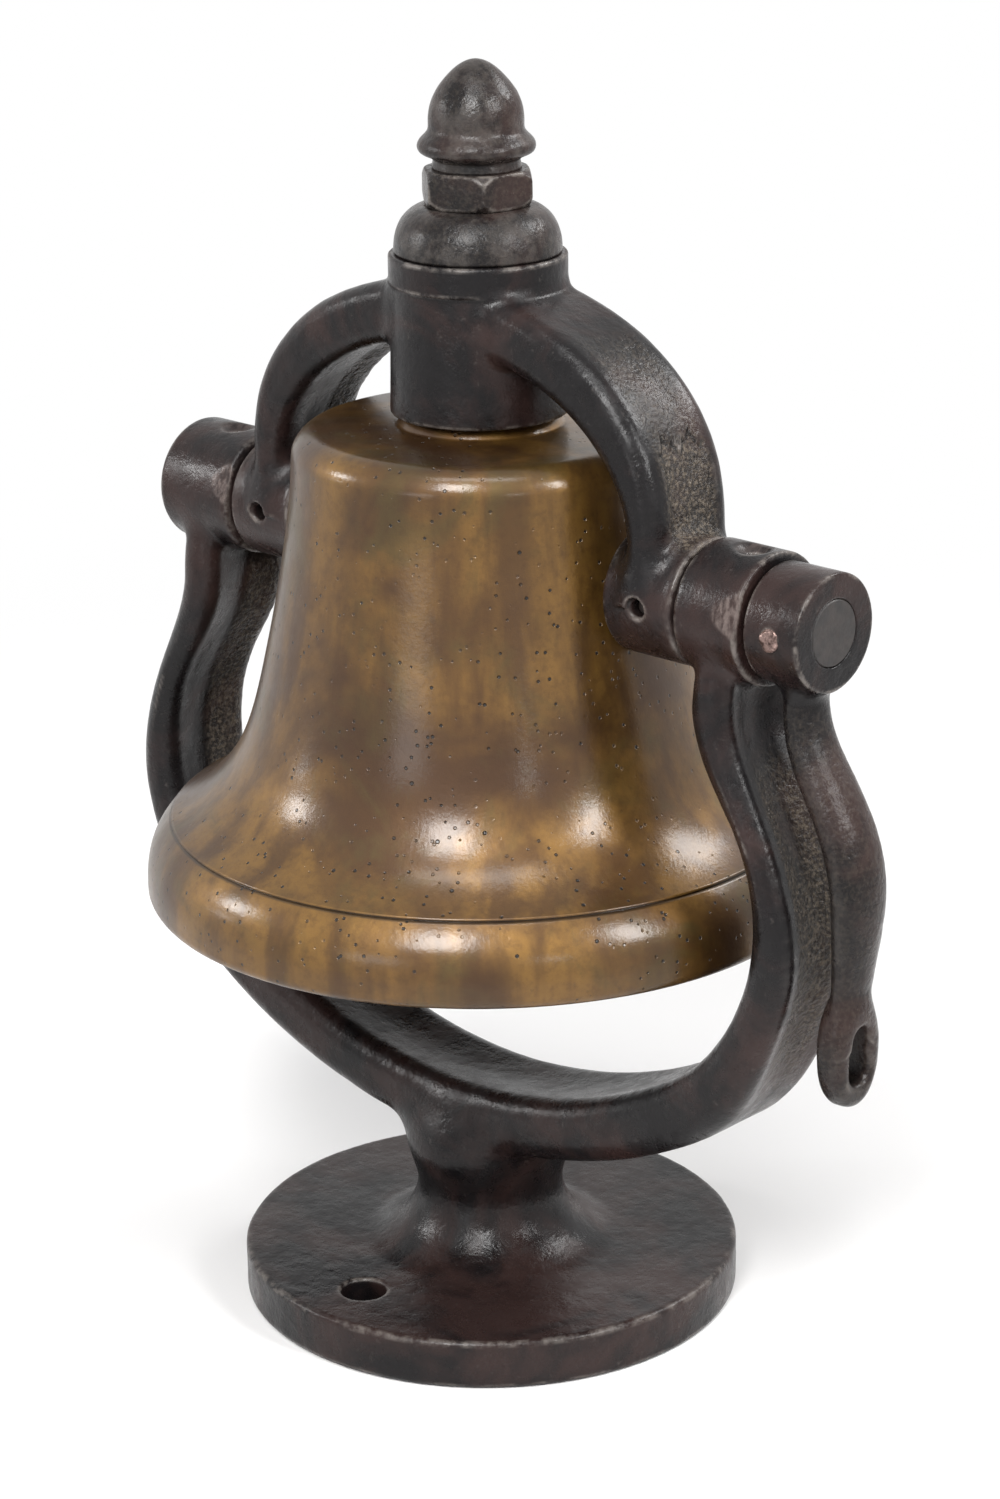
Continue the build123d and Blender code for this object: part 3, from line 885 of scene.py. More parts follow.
@dataclass(frozen=True)
class OldBronze:
    """Bell bronze under clear lacquer, with brown runs, small dark pits and painted shade along its groove.

    Attributes:
        name: Name of the material.
        gold: Colour of the clean metal.
        brown: Colour of the stained metal.
        olive: Colour of the dull film.
        pit_and_painted_shade: Colour inside the pits, and of the painted shade along the groove.
    """

    name: str
    gold: tuple[float, float, float] = (0.165, 0.084, 0.016)
    brown: tuple[float, float, float] = (0.044, 0.018, 0.0042)
    olive: tuple[float, float, float] = (0.062, 0.042, 0.0105)
    pit_and_painted_shade: tuple[float, float, float] = (0.012, 0.009, 0.007)

    def make(self) -> bpy.types.Material:
        """Build the material.

        Returns:
            The material.
        """
        recipe = Recipe(self.name)
        broad = recipe.span(recipe.noise(70.0, 4.0, 0.55, 0.5), 0.36, 0.66)
        colour = recipe.blend(broad, self.gold, self.brown)
        runs = recipe.span(recipe.noise(16.0, 4.0, 0.55, 0.2, (1.0, 1.0, 0.13)), 0.4, 0.66)
        colour = recipe.blend(recipe.sum("MULTIPLY", runs, 0.75), colour, self.brown)
        film = recipe.span(recipe.noise(34.0, 6.0, 0.62, 0.8), 0.48, 0.7)
        colour = recipe.blend(recipe.sum("MULTIPLY", film, 0.7), colour, self.olive)
        mottle = recipe.span(recipe.noise(4.0, 6.0, 0.72), 0.42, 0.72)
        colour = recipe.blend(recipe.sum("MULTIPLY", mottle, 0.4), colour, self.brown)
        where = recipe.span(recipe.noise(48.0, 3.0, 0.6), 0.42, 0.6)
        small = recipe.span(recipe.cells(4.2), 0.1, 0.18, 1.0, 0.0)
        large = recipe.span(recipe.cells(12.0), 0.04, 0.075, 1.0, 0.0)
        dots = recipe.sum("MAXIMUM", recipe.sum("MULTIPLY", small, where), large)
        colour = recipe.blend(dots, colour, self.pit_and_painted_shade)
        # Painted shade: the groove line, by the 'hollow' mark, is darkened towards the pit colour.
        colour = recipe.blend(recipe.sum("MULTIPLY", recipe.mark("hollow"), 0.9), colour, self.pit_and_painted_shade)
        shine = recipe.span(recipe.noise(18.0, 6.0, 0.65), 0.3, 0.7, 0.46, 0.62)
        holes = recipe.bump(recipe.sum("MULTIPLY", dots, -1.0), 0.4)
        grain = recipe.bump(recipe.noise(1.6, 4.0, 0.6), 0.06, holes)
        waves = recipe.bump(recipe.noise(9.0, 4.0, 0.6), 0.06, grain)
        return recipe.finish(
            base_color=colour,
            roughness=shine,
            normal=waves,
            metallic=0.8,
            coat_weight=0.6,
            coat_roughness=0.2,
            coat_ior=1.5,
            coat_normal=waves,
        )


@dataclass(frozen=True)
class PlainMetal:
    """Small steel and bronze pieces with turning marks and a little oil.

    Attributes:
        name: Name of the material.
        clean: Colour of the clean metal.
        stained: Colour of the stained metal.
        shine: Roughness.
        metal: How metallic it is.
        grain: Width of its stains.
    """

    name: str
    clean: tuple[float, float, float]
    stained: tuple[float, float, float]
    shine: float = 0.4
    metal: float = 0.9
    grain: float = 8.0

    def make(self) -> bpy.types.Material:
        """Build the material.

        Returns:
            The material.
        """
        recipe = Recipe(self.name)
        stain = recipe.span(recipe.noise(self.grain, 6.0, 0.65, 0.3), 0.4, 0.65)
        colour = recipe.blend(stain, self.clean, self.stained)
        gloss = recipe.span(recipe.noise(3.0, 5.0, 0.6), 0.3, 0.7, self.shine - 0.06, self.shine + 0.2)
        marks = recipe.bump(recipe.noise(0.9, 3.0, 0.6), 0.05)
        dents = recipe.bump(recipe.noise(5.0, 3.0, 0.6), 0.25, marks)
        return recipe.finish(base_color=colour, roughness=gloss, normal=dents, metallic=self.metal)


@dataclass(frozen=True)
class DarkLeather:
    """The pressed washer under the hub."""

    name: str = "dark_leather"

    def make(self) -> bpy.types.Material:
        """Build the material.

        Returns:
            The material.
        """
        recipe = Recipe(self.name)
        colour = recipe.blend(recipe.noise(4.0, 5.0, 0.6), (0.03, 0.017, 0.01), (0.075, 0.045, 0.025))
        return recipe.finish(base_color=colour, roughness=0.7, normal=recipe.bump(recipe.noise(1.2), 0.2))


@dataclass
class Palette:
    """The finishes that the pieces share."""

    iron: bpy.types.Material
    bronze: bpy.types.Material
    steel: bpy.types.Material
    shaft: bpy.types.Material
    bush: bpy.types.Material
    bright: bpy.types.Material
    leather: bpy.types.Material

    @classmethod
    def mix(cls) -> "Palette":
        """Build every finish once.

        Returns:
            The palette.
        """
        return cls(
            iron=OldIron("old_cast_iron").make(),
            bronze=OldBronze("old_bell_bronze").make(),
            steel=PlainMetal("dark_oiled_steel", (0.13, 0.12, 0.115), (0.05, 0.036, 0.03), 0.42).make(),
            shaft=PlainMetal(
                "waxed_shaft_steel", (0.02, 0.015, 0.013), (0.01, 0.008, 0.0075), 0.4, metal=0.0
            ).make(),
            bush=PlainMetal("bush_bronze", (0.42, 0.27, 0.11), (0.16, 0.09, 0.04), 0.35).make(),
            bright=PlainMetal(
                "rubbed_pin_steel", (0.26, 0.18, 0.16), (0.05, 0.03, 0.026), 0.28, grain=2.4
            ).make(),
            leather=DarkLeather().make(),
        )


def dress(piece: bpy.types.Object, material: bpy.types.Material, slot: str, body: Body, *nodes: str) -> None:
    """Give a new piece its finish and its body, and let it stand for its nodes.

    Args:
        piece: The new piece.
        material: Its finish.
        slot: The record's name of that finish. Not used.
        body: The body that it rides on.
        *nodes: The nodes that it stands for.
    """
    piece.data.materials.append(material)
    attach(piece, body.value)
    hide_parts(*nodes)
    LOG.info("%s: %d faces, rides on %s", piece.name, len(piece.data.polygons), body.value)


def coat_node(frame: dict, node: str, material: bpy.types.Material) -> None:
    """Put a finish on a node that keeps its own shape.

    Args:
        frame: The loaded frame.
        node: Name of the node.
        material: The finish.
    """
    piece = frame["nodes"][node]
    piece.data.materials.clear()
    piece.data.materials.append(material)
    LOG.info("%s: own shape", node)


@dataclass
class Stand:
    """Foot, neck, cradle, two arms and two bearings in one iron casting."""

    foot_radius: float = 95.25
    foot_thickness: float = 19.0
    foot_edge: float = 2.2
    neck_top: float = 73.0
    bolt_hole_radius: float = 8.5
    bolt_hole_y: float = -70.0
    cradle_inner: float = 207.5
    cradle_outer: float = 232.5
    fork_shift: float = -4.5
    depth: float = 46.0
    rim_round: float = 9.0
    bearing_radius: float = 23.75
    bearing_inner_x: float = 112.3
    right_outer_x: float = 139.5
    left_outer_x: float = 150.0
    left_wall: float = 5.0
    bearing_fillet: float = 5.0
    foot_fillet: float = 12.0
    bush_radius: float = 15.03
    oil_x: float = 129.0
    oil_radius: float = 3.0
    cup_radius: float = 9.0
    cup_depth: float = 3.5
    step: float = 1.0

    def __post_init__(self) -> None:
        """Draw the side outlines of the fork and the profile of the foot and neck."""
        outer = [(126.0, 99.6), (157.0, 141.0), (166.5, 175.0)]
        outer += [(157.5, 216.0), (146.0, 240.0), (138.5, 264.0)]
        inner = [(112.0, 120.3), (139.0, 151.0), (148.0, 181.0)]
        inner += [(142.0, 216.0), (127.5, 240.0), (120.5, 264.0)]
        outer_face = self._face(outer, self.cradle_outer, 32.8)
        inner_face = self._face(inner, self.cradle_inner, 32.66)
        mirrored = np.array([-1.0, 1.0])
        self.outer_side, self.inner_side = (
            Outline([face, face * mirrored], np.vstack([face[::-1], face * mirrored]))
            for face in (outer_face, inner_face)
        )
        bottom = np.array([[0.0, 0.0], [self.foot_radius, 0.0]])
        neck_points = [(50.0, self.foot_thickness), (28.0, 42.0), (31.5, 59.0), (23.0, self.neck_top)]
        neck = smooth_curve(neck_points, 24, (-1.0, 0.0), (-1.0, 0.6))
        right = np.vstack([bottom, [[self.foot_radius, self.foot_thickness]], neck])
        left = right * mirrored
        self.foot_profile = Outline([right, left], np.vstack([right, left[::-1]]))

    @staticmethod
    def _face(arm: Sequence[tuple[float, float]], radius: float, last: float) -> Grid:
        """Join a cradle arc, an arm's curve and its straight top into one face.

        Args:
            arm: Points of the arm's curve.
            radius: Radius of the cradle's arc.
            last: Angle where the arc ends, in degrees.

        Returns:
            The face, as rows of x and z.
        """
        arc = arc_points(radius, 0.0, last, 40)
        curve = smooth_curve(arm, 10, (0.84, 0.54), (0.0, 1.0))
        return np.vstack([arc[:-1], curve, [[arm[-1][0], AXIS_HEIGHT]]])

    def fork(self, x: Grid, y: Grid, z: Grid) -> Grid:
        """Distance to the fork, with its round rims and the shallow channels between them.

        Args:
            x, y, z: Coordinates of the points.

        Returns:
            Distances.
        """
        along = x - self.fork_shift
        outer = self.outer_side(along, z)
        inner = -self.inner_side(along, z)
        scoop = 1.0 - ease(0.0, 20.5, np.abs(y))
        rise = ease(100.0, 150.0, z)
        side = np.maximum(outer + 5.2 * rise * scoop, inner + (1.8 + 2.4 * rise) * scoop)
        half = self.depth / 2 - 3.5 * ease(262.0, 292.0, z)
        return rounded_slab(side, np.abs(y) - half, self.rim_round)

    def foot(self, x: Grid, y: Grid, z: Grid) -> Grid:
        """Distance to the round foot and its flared neck.

        Args:
            x, y, z: Coordinates of the points.

        Returns:
            Distances.
        """
        radius = np.hypot(x, y)
        disc = rounded_slab(radius - self.foot_radius, between(0.0, self.foot_thickness, z), self.foot_edge)
        return np.minimum(disc, np.maximum(self.foot_profile(radius, z), radius - 60.0))

    def bearings(self, x: Grid, y: Grid, z: Grid) -> Grid:
        """Distance to the two bearing bosses.

        Args:
            x, y, z: Coordinates of the points.

        Returns:
            Distances.
        """
        radius = np.hypot(y, z - AXIS_HEIGHT) - self.bearing_radius
        ends = []
        for direction, outer_x, rounding in ((1.0, self.right_outer_x, 0.9), (-1.0, self.left_outer_x, 2.4)):
            length = between(self.bearing_inner_x, outer_x, direction * x)
            ends.append(rounded_slab(radius, length, rounding))
        return np.minimum(*ends)

    def file_planes(self, x: Grid, y: Grid, z: Grid) -> Grid:
        """Height above the two flats that a file has cut on the bearings' front edges.

        Args:
            x, y, z: Coordinates of the points.

        Returns:
            Heights, above 0 where the file has cut.
        """
        right = 0.155 * (x - self.right_outer_x) - 0.955 * (y + 21.7) + 0.25 * (z - AXIS_HEIGHT - 5.7)
        left = 0.19 * (x + self.bearing_inner_x) - 0.92 * (y + 21.0) + 0.34 * (z - AXIS_HEIGHT - 7.8)
        return np.where(x > 0.0, right, left)

    def form(self, x: Grid, y: Grid, z: Grid) -> Grid:
        """Distance to the whole casting.

        Args:
            x, y, z: Coordinates of the points.

        Returns:
            Distances.
        """
        body = weld(self.fork(x, y, z), self.bearings(x, y, z), self.bearing_fillet)
        body = carve(body, np.maximum(-self.file_planes(x, y, z), 270.0 - z), 0.4)
        body = weld(body, self.foot(x, y, z), self.foot_fillet)
        off_axis = np.hypot(y, z - AXIS_HEIGHT)
        out = np.abs(x)
        closed_end = np.where(x > 0.0, -1e3, out - self.left_outer_x + self.left_wall)
        bores = np.maximum(np.maximum(off_axis - self.bush_radius, 105.0 - out), closed_end)
        body = carve(body, bores, 0.6)
        hole = np.hypot(x, y - self.bolt_hole_y) - self.bolt_hole_radius
        body = carve(body, np.maximum(hole, z - 40.0), 1.4)
        across = np.hypot(out - self.oil_x, y)
        lift = z - AXIS_HEIGHT - self.bearing_radius - self.cup_radius + self.cup_depth
        body = carve(body, np.hypot(across, lift) - self.cup_radius, 1.0)
        return carve(body, np.maximum(across - self.oil_radius, AXIS_HEIGHT - z), 0.6)

    def rough(self, x: Grid, y: Grid, z: Grid) -> Grid:
        """Where the sand texture is coarse: the outer channels and the back of the inner faces.

        Args:
            x, y, z: Coordinates of the points.

        Returns:
            Numbers from 0 to 1.
        """
        inner = -self.inner_side(x - self.fork_shift, z)
        outward = ease(-8.0, -12.0, inner)
        channel = (1.0 - ease(8.0, 13.0, np.abs(y))) * ease(112.0, 152.0, z) * (1.0 - ease(222.0, 250.0, z))
        strip = ease(0.0, 6.0, y) * (1.0 - ease(18.0, 22.0, y))
        strip = strip * ease(125.0, 150.0, z) * (1.0 - ease(258.0, 268.0, z))
        return channel * outward + 0.8 * strip * (1.0 - outward)

    def machined(self, x: Grid, y: Grid, z: Grid) -> Grid:
        """Where the casting is turned or bored, so it stays true.

        Args:
            x, y, z: Coordinates of the points.

        Returns:
            Numbers from 0 to 1.
        """
        off_axis = np.hypot(y, z - AXIS_HEIGHT)
        bearing = (1.0 - ease(25.0, 30.0, off_axis)) * ease(106.0, 110.0, np.abs(x))
        return np.maximum(bearing * 0.85, 1.0 - ease(1.0, 3.0, z))

    def filed(self, x: Grid, y: Grid, z: Grid) -> Grid:
        """Where the metal shows: the filed flats and, faintly, the oil cups.

        Args:
            x, y, z: Coordinates of the points.

        Returns:
            Numbers from 0 to 1.
        """
        flat = (1.0 - ease(0.12, 0.5, np.abs(self.file_planes(x, y, z)))) * ease(270.0, 273.0, z)
        near = np.where(x > 0.0, ease(126.0, 131.0, x), ease(-126.0, -121.0, x))
        across = np.hypot(np.abs(x) - self.oil_x, y)
        cup = (1.0 - ease(6.0, 7.6, across)) * ease(AXIS_HEIGHT + 14.0, AXIS_HEIGHT + 18.0, z)
        return np.maximum(flat * near * (y < 0.0), 0.35 * cup)

    def build(self, palette: Palette) -> None:
        """Cast the stand and dress it.

        Args:
            palette: The finishes that the pieces share.
        """
        casting = Casting(self.step, 11)
        low, high = (-176.0, -100.0, -4.0), (168.0, 100.0, 324.0)
        shell = casting.cast(self.form, low, high, self.rough, self.machined, self.filed)
        shell.points[:, 2] = np.maximum(shell.points[:, 2], 0.0)
        dress(shell.to_object("stand_casting"), palette.iron, "cast_iron", Body.STAND, "stand")


@dataclass
class Yoke:
    """Hub, two curved arms and two trunnion bosses in one iron casting."""

    depth: float = 44.0
    rim_round: float = 7.0
    boss_radius: float = 23.0
    boss_inner_x: float = 79.0
    boss_outer_x: float = 110.2
    pin_x: float = 95.0
    pin_radius: float = 3.03
    hub_bottom: float = 51.5
    band_bottom: float = 98.0
    hub_top: float = 109.0
    bolt_hole: float = 11.4
    shaft_radius: float = 12.03
    hub_fillet: float = 5.0
    boss_fillet: float = 7.0
    step: float = 0.8

    def __post_init__(self) -> None:
        """Draw the side outlines of the arms."""
        outer = [(0.0, 101.0), (33.0, 96.5), (59.0, 87.0), (83.0, 69.5)]
        outer += [(97.5, 46.0), (101.0, 24.0), (100.5, 0.0)]
        inner = [(0.0, 78.0), (34.0, 73.0), (60.0, 61.5), (75.0, 48.5)]
        inner += [(84.0, 34.0), (86.5, 18.0), (86.0, 0.0)]
        self.outer_side, self.inner_side = (
            Outline([face], np.vstack([face, [[0.0, 0.0]]]))
            for face in (smooth_curve(points, 12, (1.0, 0.0), (0.0, -1.0)) for points in (outer, inner))
        )

    def patch(self, out: Grid, y: Grid, height: Grid) -> Grid:
        """The sunken sandy patch low on each arm's outer face, with its ragged upper edge.

        Args:
            out: Distances from the middle along the trunnion axis.
            y: Depths.
            height: Heights above the trunnion axis.

        Returns:
            Numbers from 0 to 1.
        """
        ragged = height + 2.4 * np.sin(0.5 * y + 1.0) + 1.3 * np.sin(1.3 * y)
        across = (1.0 - ease(10.0, 13.5, np.abs(y - 1.5))) * ease(88.0, 92.0, out)
        return across * (1.0 - ease(53.0, 56.0, ragged)) * ease(12.0, 20.0, height)

    def form(self, x: Grid, y: Grid, z: Grid) -> Grid:
        """Distance to the whole casting.

        Args:
            x, y, z: Coordinates of the points.

        Returns:
            Distances.
        """
        height = z - AXIS_HEIGHT
        out = np.abs(x)
        outer = self.outer_side(out, height)
        inner = -self.inner_side(out, height)
        scoop = 1.0 - ease(4.0, 15.0, np.abs(y))
        outer = outer + 0.5 * scoop * ease(40.0, 60.0, out) + 1.1 * self.patch(out, y, height)
        inner = inner + 1.4 * scoop * ease(36.0, 50.0, out)
        arms = rounded_slab(np.maximum(outer, inner), np.abs(y) - self.depth / 2, self.rim_round)
        radius = np.hypot(x, y)
        taper = 32.4 - (height - self.hub_bottom) * 0.0215
        hub = rounded_slab(radius - taper, between(self.hub_bottom, self.band_bottom, height) - 0.5, 1.2)
        band = rounded_slab(radius - 32.2, between(self.band_bottom, self.hub_top, height), 1.1)
        off_axis = np.hypot(y, height)
        length = between(self.boss_inner_x, self.boss_outer_x, out)
        boss = rounded_slab(off_axis - self.boss_radius, length, 1.4)
        body = weld(arms, weld(hub, band, 0.6), self.hub_fillet)
        body = weld(body, boss, self.boss_fillet)
        body = carve(body, np.maximum(off_axis - self.shaft_radius, 70.0 - out), 0.5)
        body = carve(body, radius - self.bolt_hole, 0.6)
        sink = 1.2 * ease(21.4, 23.4, np.abs(y))
        return carve(body, np.hypot(out - self.pin_x, height) - self.pin_radius - sink, 0.4)

    def rough(self, x: Grid, y: Grid, z: Grid) -> Grid:
        """Where the sand texture is coarse: the sunken patches and the back of the inner faces.

        Args:
            x, y, z: Coordinates of the points.

        Returns:
            Numbers from 0 to 1.
        """
        height = z - AXIS_HEIGHT
        out = np.abs(x)
        inner = -self.inner_side(out, height)
        strip = ease(2.0, 9.0, y) * ease(-7.0, -3.0, inner) * ease(34.0, 44.0, out) * ease(8.0, 24.0, height)
        above = 0.3 * ease(-9.0, -14.0, inner) * (1.0 - ease(11.0, 15.0, np.abs(y))) * ease(52.0, 72.0, out)
        return np.clip(self.patch(out, y, height) + 0.7 * strip + above * (height > 14.0), 0.0, 1.0)

    def machined(self, x: Grid, y: Grid, z: Grid) -> Grid:
        """Where the casting is turned, so it stays true.

        Args:
            x, y, z: Coordinates of the points.

        Returns:
            Numbers from 0 to 1.
        """
        band = ease(97.0, 98.0, z - AXIS_HEIGHT)
        boss = ease(103.0, 106.0, np.abs(x))
        return np.clip(0.85 * band + 0.8 * boss, 0.0, 1.0)

    def filed(self, x: Grid, y: Grid, z: Grid) -> Grid:
        """Where the metal shows: round the pin holes and at the bosses' outer ends.

        Args:
            x, y, z: Coordinates of the points.

        Returns:
            Numbers from 0 to 1.
        """
        height = z - AXIS_HEIGHT
        out = np.abs(x)
        hole = np.hypot(out - self.pin_x, height)
        ring = ease(3.2, 3.8, hole) * (1.0 - ease(4.2, 6.0, hole)) * ease(18.0, 20.0, np.abs(y))
        end = ease(104.0, 109.0, out) * (1.0 - ease(23.4, 26.0, np.hypot(y, height)))
        return np.maximum(0.25 * ring, 0.22 * end)

    def build(self, palette: Palette) -> None:
        """Cast the yoke and dress it.

        Args:
            palette: The finishes that the pieces share.
        """
        casting = Casting(self.step, 23, wobble=0.3)
        low = (-114.0, -36.0, AXIS_HEIGHT - 27.0)
        high = (114.0, 36.0, AXIS_HEIGHT + 113.0)
        shell = casting.cast(self.form, low, high, self.rough, self.machined, self.filed)
        dress(shell.to_object("yoke_casting"), palette.iron, "cast_iron", Body.SWINGING, "yoke")


@dataclass
class Crank:
    """Boss, bowed arm of oval section and long eye in one iron casting, and its riveted pin."""

    boss_radius: float = 21.0
    boss_inner_x: float = 141.1
    boss_outer_x: float = 164.1
    shaft_radius: float = 12.03
    pin_x: float = 152.6
    pin_radius: float = 3.3
    head_radius: float = 4.2
    head_height: float = 0.9
    eye_x: float = 173.2
    eye_z: float = 144.5
    eye_thickness: float = 12.4
    eye_half_width: float = 13.2
    eye_half_length: float = 20.8
    slot_half_width: float = 4.75
    slot_half_length: float = 11.5
    boss_fillet: float = 7.0
    eye_fillet: float = 6.0
    step: float = 0.7

    def __post_init__(self) -> None:
        """Lay the arm's middle line, thickness and width against its height."""
        stations = [
            (144.0, 173.4, 9.5, 17.0),
            (158.0, 173.6, 10.5, 18.0),
            (167.0, 174.3, 11.2, 18.7),
            (185.0, 176.0, 13.5, 22.0),
            (203.0, 176.5, 15.0, 25.0),
            (222.0, 172.5, 15.5, 25.0),
            (241.0, 162.5, 15.0, 23.0),
            (258.0, 154.1, 14.0, 20.0),
            (281.0, 152.6, 12.0, 19.0),
            (300.0, 152.6, 12.0, 19.0),
        ]
        heights = [row[0] for row in stations]
        self.lines = [smooth_curve([(z, row[k]) for z, row in zip(heights, stations)], 8) for k in (1, 2, 3)]

    def arm(self, x: Grid, y: Grid, z: Grid) -> Grid:
        """Distance to the bowed arm.

        Args:
            x, y, z: Coordinates of the points.

        Returns:
            Distances.
        """
        centre, thick, wide = (np.interp(z, line[:, 0], line[:, 1]) for line in self.lines)
        lean = (np.interp(z + 1.0, self.lines[0][:, 0], self.lines[0][:, 1]) - centre) ** 2
        across = (x - centre) / np.sqrt(1.0 + lean)
        share = np.sqrt((across / (thick / 2)) ** 2 + (y / (wide / 2)) ** 2) + 1e-9
        distance = np.hypot(across, y) * (1.0 - 1.0 / share)
        return np.maximum(distance, np.abs(z - 219.0) - 69.0)

    def form(self, x: Grid, y: Grid, z: Grid) -> Grid:
        """Distance to the whole crank.

        Args:
            x, y, z: Coordinates of the points.

        Returns:
            Distances.
        """
        off_axis = np.hypot(y, z - AXIS_HEIGHT)
        length = between(self.boss_inner_x, self.boss_outer_x, x)
        boss = rounded_slab(off_axis - self.boss_radius, length, 0.8)
        body = weld(self.arm(x, y, z), boss, self.boss_fillet)
        height = z - self.eye_z
        share = np.sqrt((y / self.eye_half_width) ** 2 + (height / self.eye_half_length) ** 2) + 1e-9
        outline = np.hypot(y, height) * (1.0 - 1.0 / share)
        eye = rounded_slab(outline, np.abs(x - self.eye_x) - self.eye_thickness / 2, 5.2)
        body = weld(body, eye, self.eye_fillet)
        straight = self.slot_half_length - self.slot_half_width
        slot = np.hypot(y, height - np.clip(height, -straight, straight)) - self.slot_half_width
        slot = slot + 1.3 * ease(0.0, 10.0, height)
        body = carve(body, np.maximum(slot, 160.0 - x), 3.2)
        body = carve(body, off_axis - self.shaft_radius, 0.25)
        return carve(body, np.hypot(x - self.pin_x, z - AXIS_HEIGHT) - self.pin_radius, 0.3)

    def rough(self, x: Grid, y: Grid, z: Grid) -> Grid:
        """Where the sand texture is coarse: faintly, all over the arm."""
        return 0.16 * ease(24.0, 34.0, np.hypot(y, z - AXIS_HEIGHT))

    def machined(self, x: Grid, y: Grid, z: Grid) -> Grid:
        """Where the crank is turned: its boss."""
        off_axis = np.hypot(y, z - AXIS_HEIGHT)
        return np.where(off_axis < 14.0, 1.0, 0.9 * (1.0 - ease(20.0, 30.0, off_axis)))

    def pin(self, x: Grid, y: Grid, z: Grid) -> Grid:
        """Distance to the cross pin with its two hammered heads.

        Args:
            x, y, z: Coordinates of the points.

        Returns:
            Distances.
        """
        radius = np.hypot(x - self.pin_x, z - AXIS_HEIGHT)
        end = self.boss_radius + self.head_height
        shank = np.maximum(radius - self.pin_radius + 0.03, np.abs(y) - end + 0.3)
        tilt = 0.12 * (x - self.pin_x) * np.sin(z - AXIS_HEIGHT + 1.0) + 0.08 * (z - AXIS_HEIGHT)
        face = np.abs(y) - end + tilt + 0.035 * radius**2
        head = shared(radius - self.head_radius, face, 0.8)
        head = np.maximum(head, self.boss_radius - 0.8 - np.abs(y))
        return np.minimum(shank, head)

    def build(self, palette: Palette) -> None:
        """Cast the crank, rivet its pin and dress them.

        Args:
            palette: The finishes that the pieces share.
        """
        casting = Casting(self.step, 37, wobble=0.4, skin=0.09)
        low, high = (138.0, -25.0, 120.0), (188.0, 25.0, 320.0)
        shell = casting.cast(self.form, low, high, self.rough, self.machined)
        dress(shell.to_object("crank_casting"), palette.iron, "cast_iron", Body.SWINGING, "crank_arm")
        low = (self.pin_x - 6.0, -24.0, AXIS_HEIGHT - 6.0)
        high = (self.pin_x + 6.0, 24.0, AXIS_HEIGHT + 6.0)
        rivet = Casting(0.4, 71, wobble=0.1, skin=0.05).cast(self.pin, low, high)
        dress(rivet.to_object("crank_rivet"), palette.bright, "steel", Body.SWINGING, "crank_pin")


@dataclass
class Bell:
    """The turned bronze bell."""

    hole: float = 11.4
    spacing: float = 1.3
    segments: int = 560
    groove_height: float = -101.5

    def profile(self) -> Grid:
        """Draw the bell's section, from the crown's hole over the outside and back along the inside.

        Returns:
            The section, as rows of radius and height.
        """
        crown = np.array(
            [(self.hole, 36.5), (self.hole, 50.0), (27.6, 50.0), (28.6, 49.0), (30.1, 46.8), (60.0, 45.5)]
        )
        shoulder = smooth_curve([(60.0, 45.5), (68.7, 36.0)], 10, (1.0, -0.05), (0.05, -1.0))
        waist = smooth_curve(
            [
                (68.7, 36.0),
                (69.8, 20.0),
                (72.7, 0.0),
                (76.2, -20.0),
                (80.4, -40.0),
                (85.4, -60.0),
                (91.2, -75.0),
                (98.5, -86.0),
                (107.5, -94.5),
                (117.6, -101.0),
            ],
            10,
            (0.05, -1.0),
            (1.0, -0.55),
        )
        groove = np.array(
            [(117.6, -101.0), (117.35, -101.1), (116.9, -101.4), (117.0, -101.7), (117.9, -101.75)]
        )
        band = [(117.9, -101.75), (124.4, -111.0), (126.7, -120.0), (127.0, -127.0)]
        lip = smooth_curve(band, 8, (0.7, -0.75), (0.0, -1.0))
        edge = smooth_curve([(127.0, -127.0), (125.8, -130.0), (122.7, -131.3)], 6, (0.0, -1.0), (-1.0, 0.0))
        inside = smooth_curve(
            [
                (114.5, -131.3),
                (111.0, -122.0),
                (103.5, -108.0),
                (93.5, -94.0),
                (84.3, -79.0),
                (78.0, -62.0),
                (72.5, -40.0),
                (68.0, -20.0),
                (64.5, 0.0),
                (61.8, 20.0),
                (60.6, 29.0),
            ],
            8,
            (-0.2, 1.0),
            (-0.15, 1.0),
        )
        top = smooth_curve([(60.6, 29.0), (53.0, 36.5)], 8, (-0.15, 1.0), (-1.0, 0.0))
        line = np.vstack([crown, shoulder[1:], waist[1:], groove[1:], lip[1:], edge[1:], inside, top[1:]])
        return line + [0.0, AXIS_HEIGHT]

    def build(self, palette: Palette) -> None:
        """Turn the bell, make it a little uneven and dress it.

        Args:
            palette: The finishes that the pieces share.
        """
        points, quads = lathe(dense(self.profile(), self.spacing), self.segments)
        grain = Grain(5)
        angles = np.arctan2(points[:, 1], points[:, 0])
        radius = np.hypot(points[:, 0], points[:, 1])
        outward = np.column_stack([np.cos(angles), np.sin(angles), np.zeros(len(points))])
        waves = grain.layers(points, 60.0, 2) * 0.12
        points = points + outward * (waves * (radius > 30.0))[:, None]
        height = points[:, 2] - AXIS_HEIGHT
        # The 'hollow' mark puts painted shade along the groove, on top of its cut.
        groove = np.exp(-(((height - self.groove_height) / 0.35) ** 2)) * (radius > 114.0)
        shell = Shell(points, quads, {"hollow": groove})
        dress(shell.to_object("bell_body"), palette.bronze, "bell_bronze", Body.SWINGING, "bell")


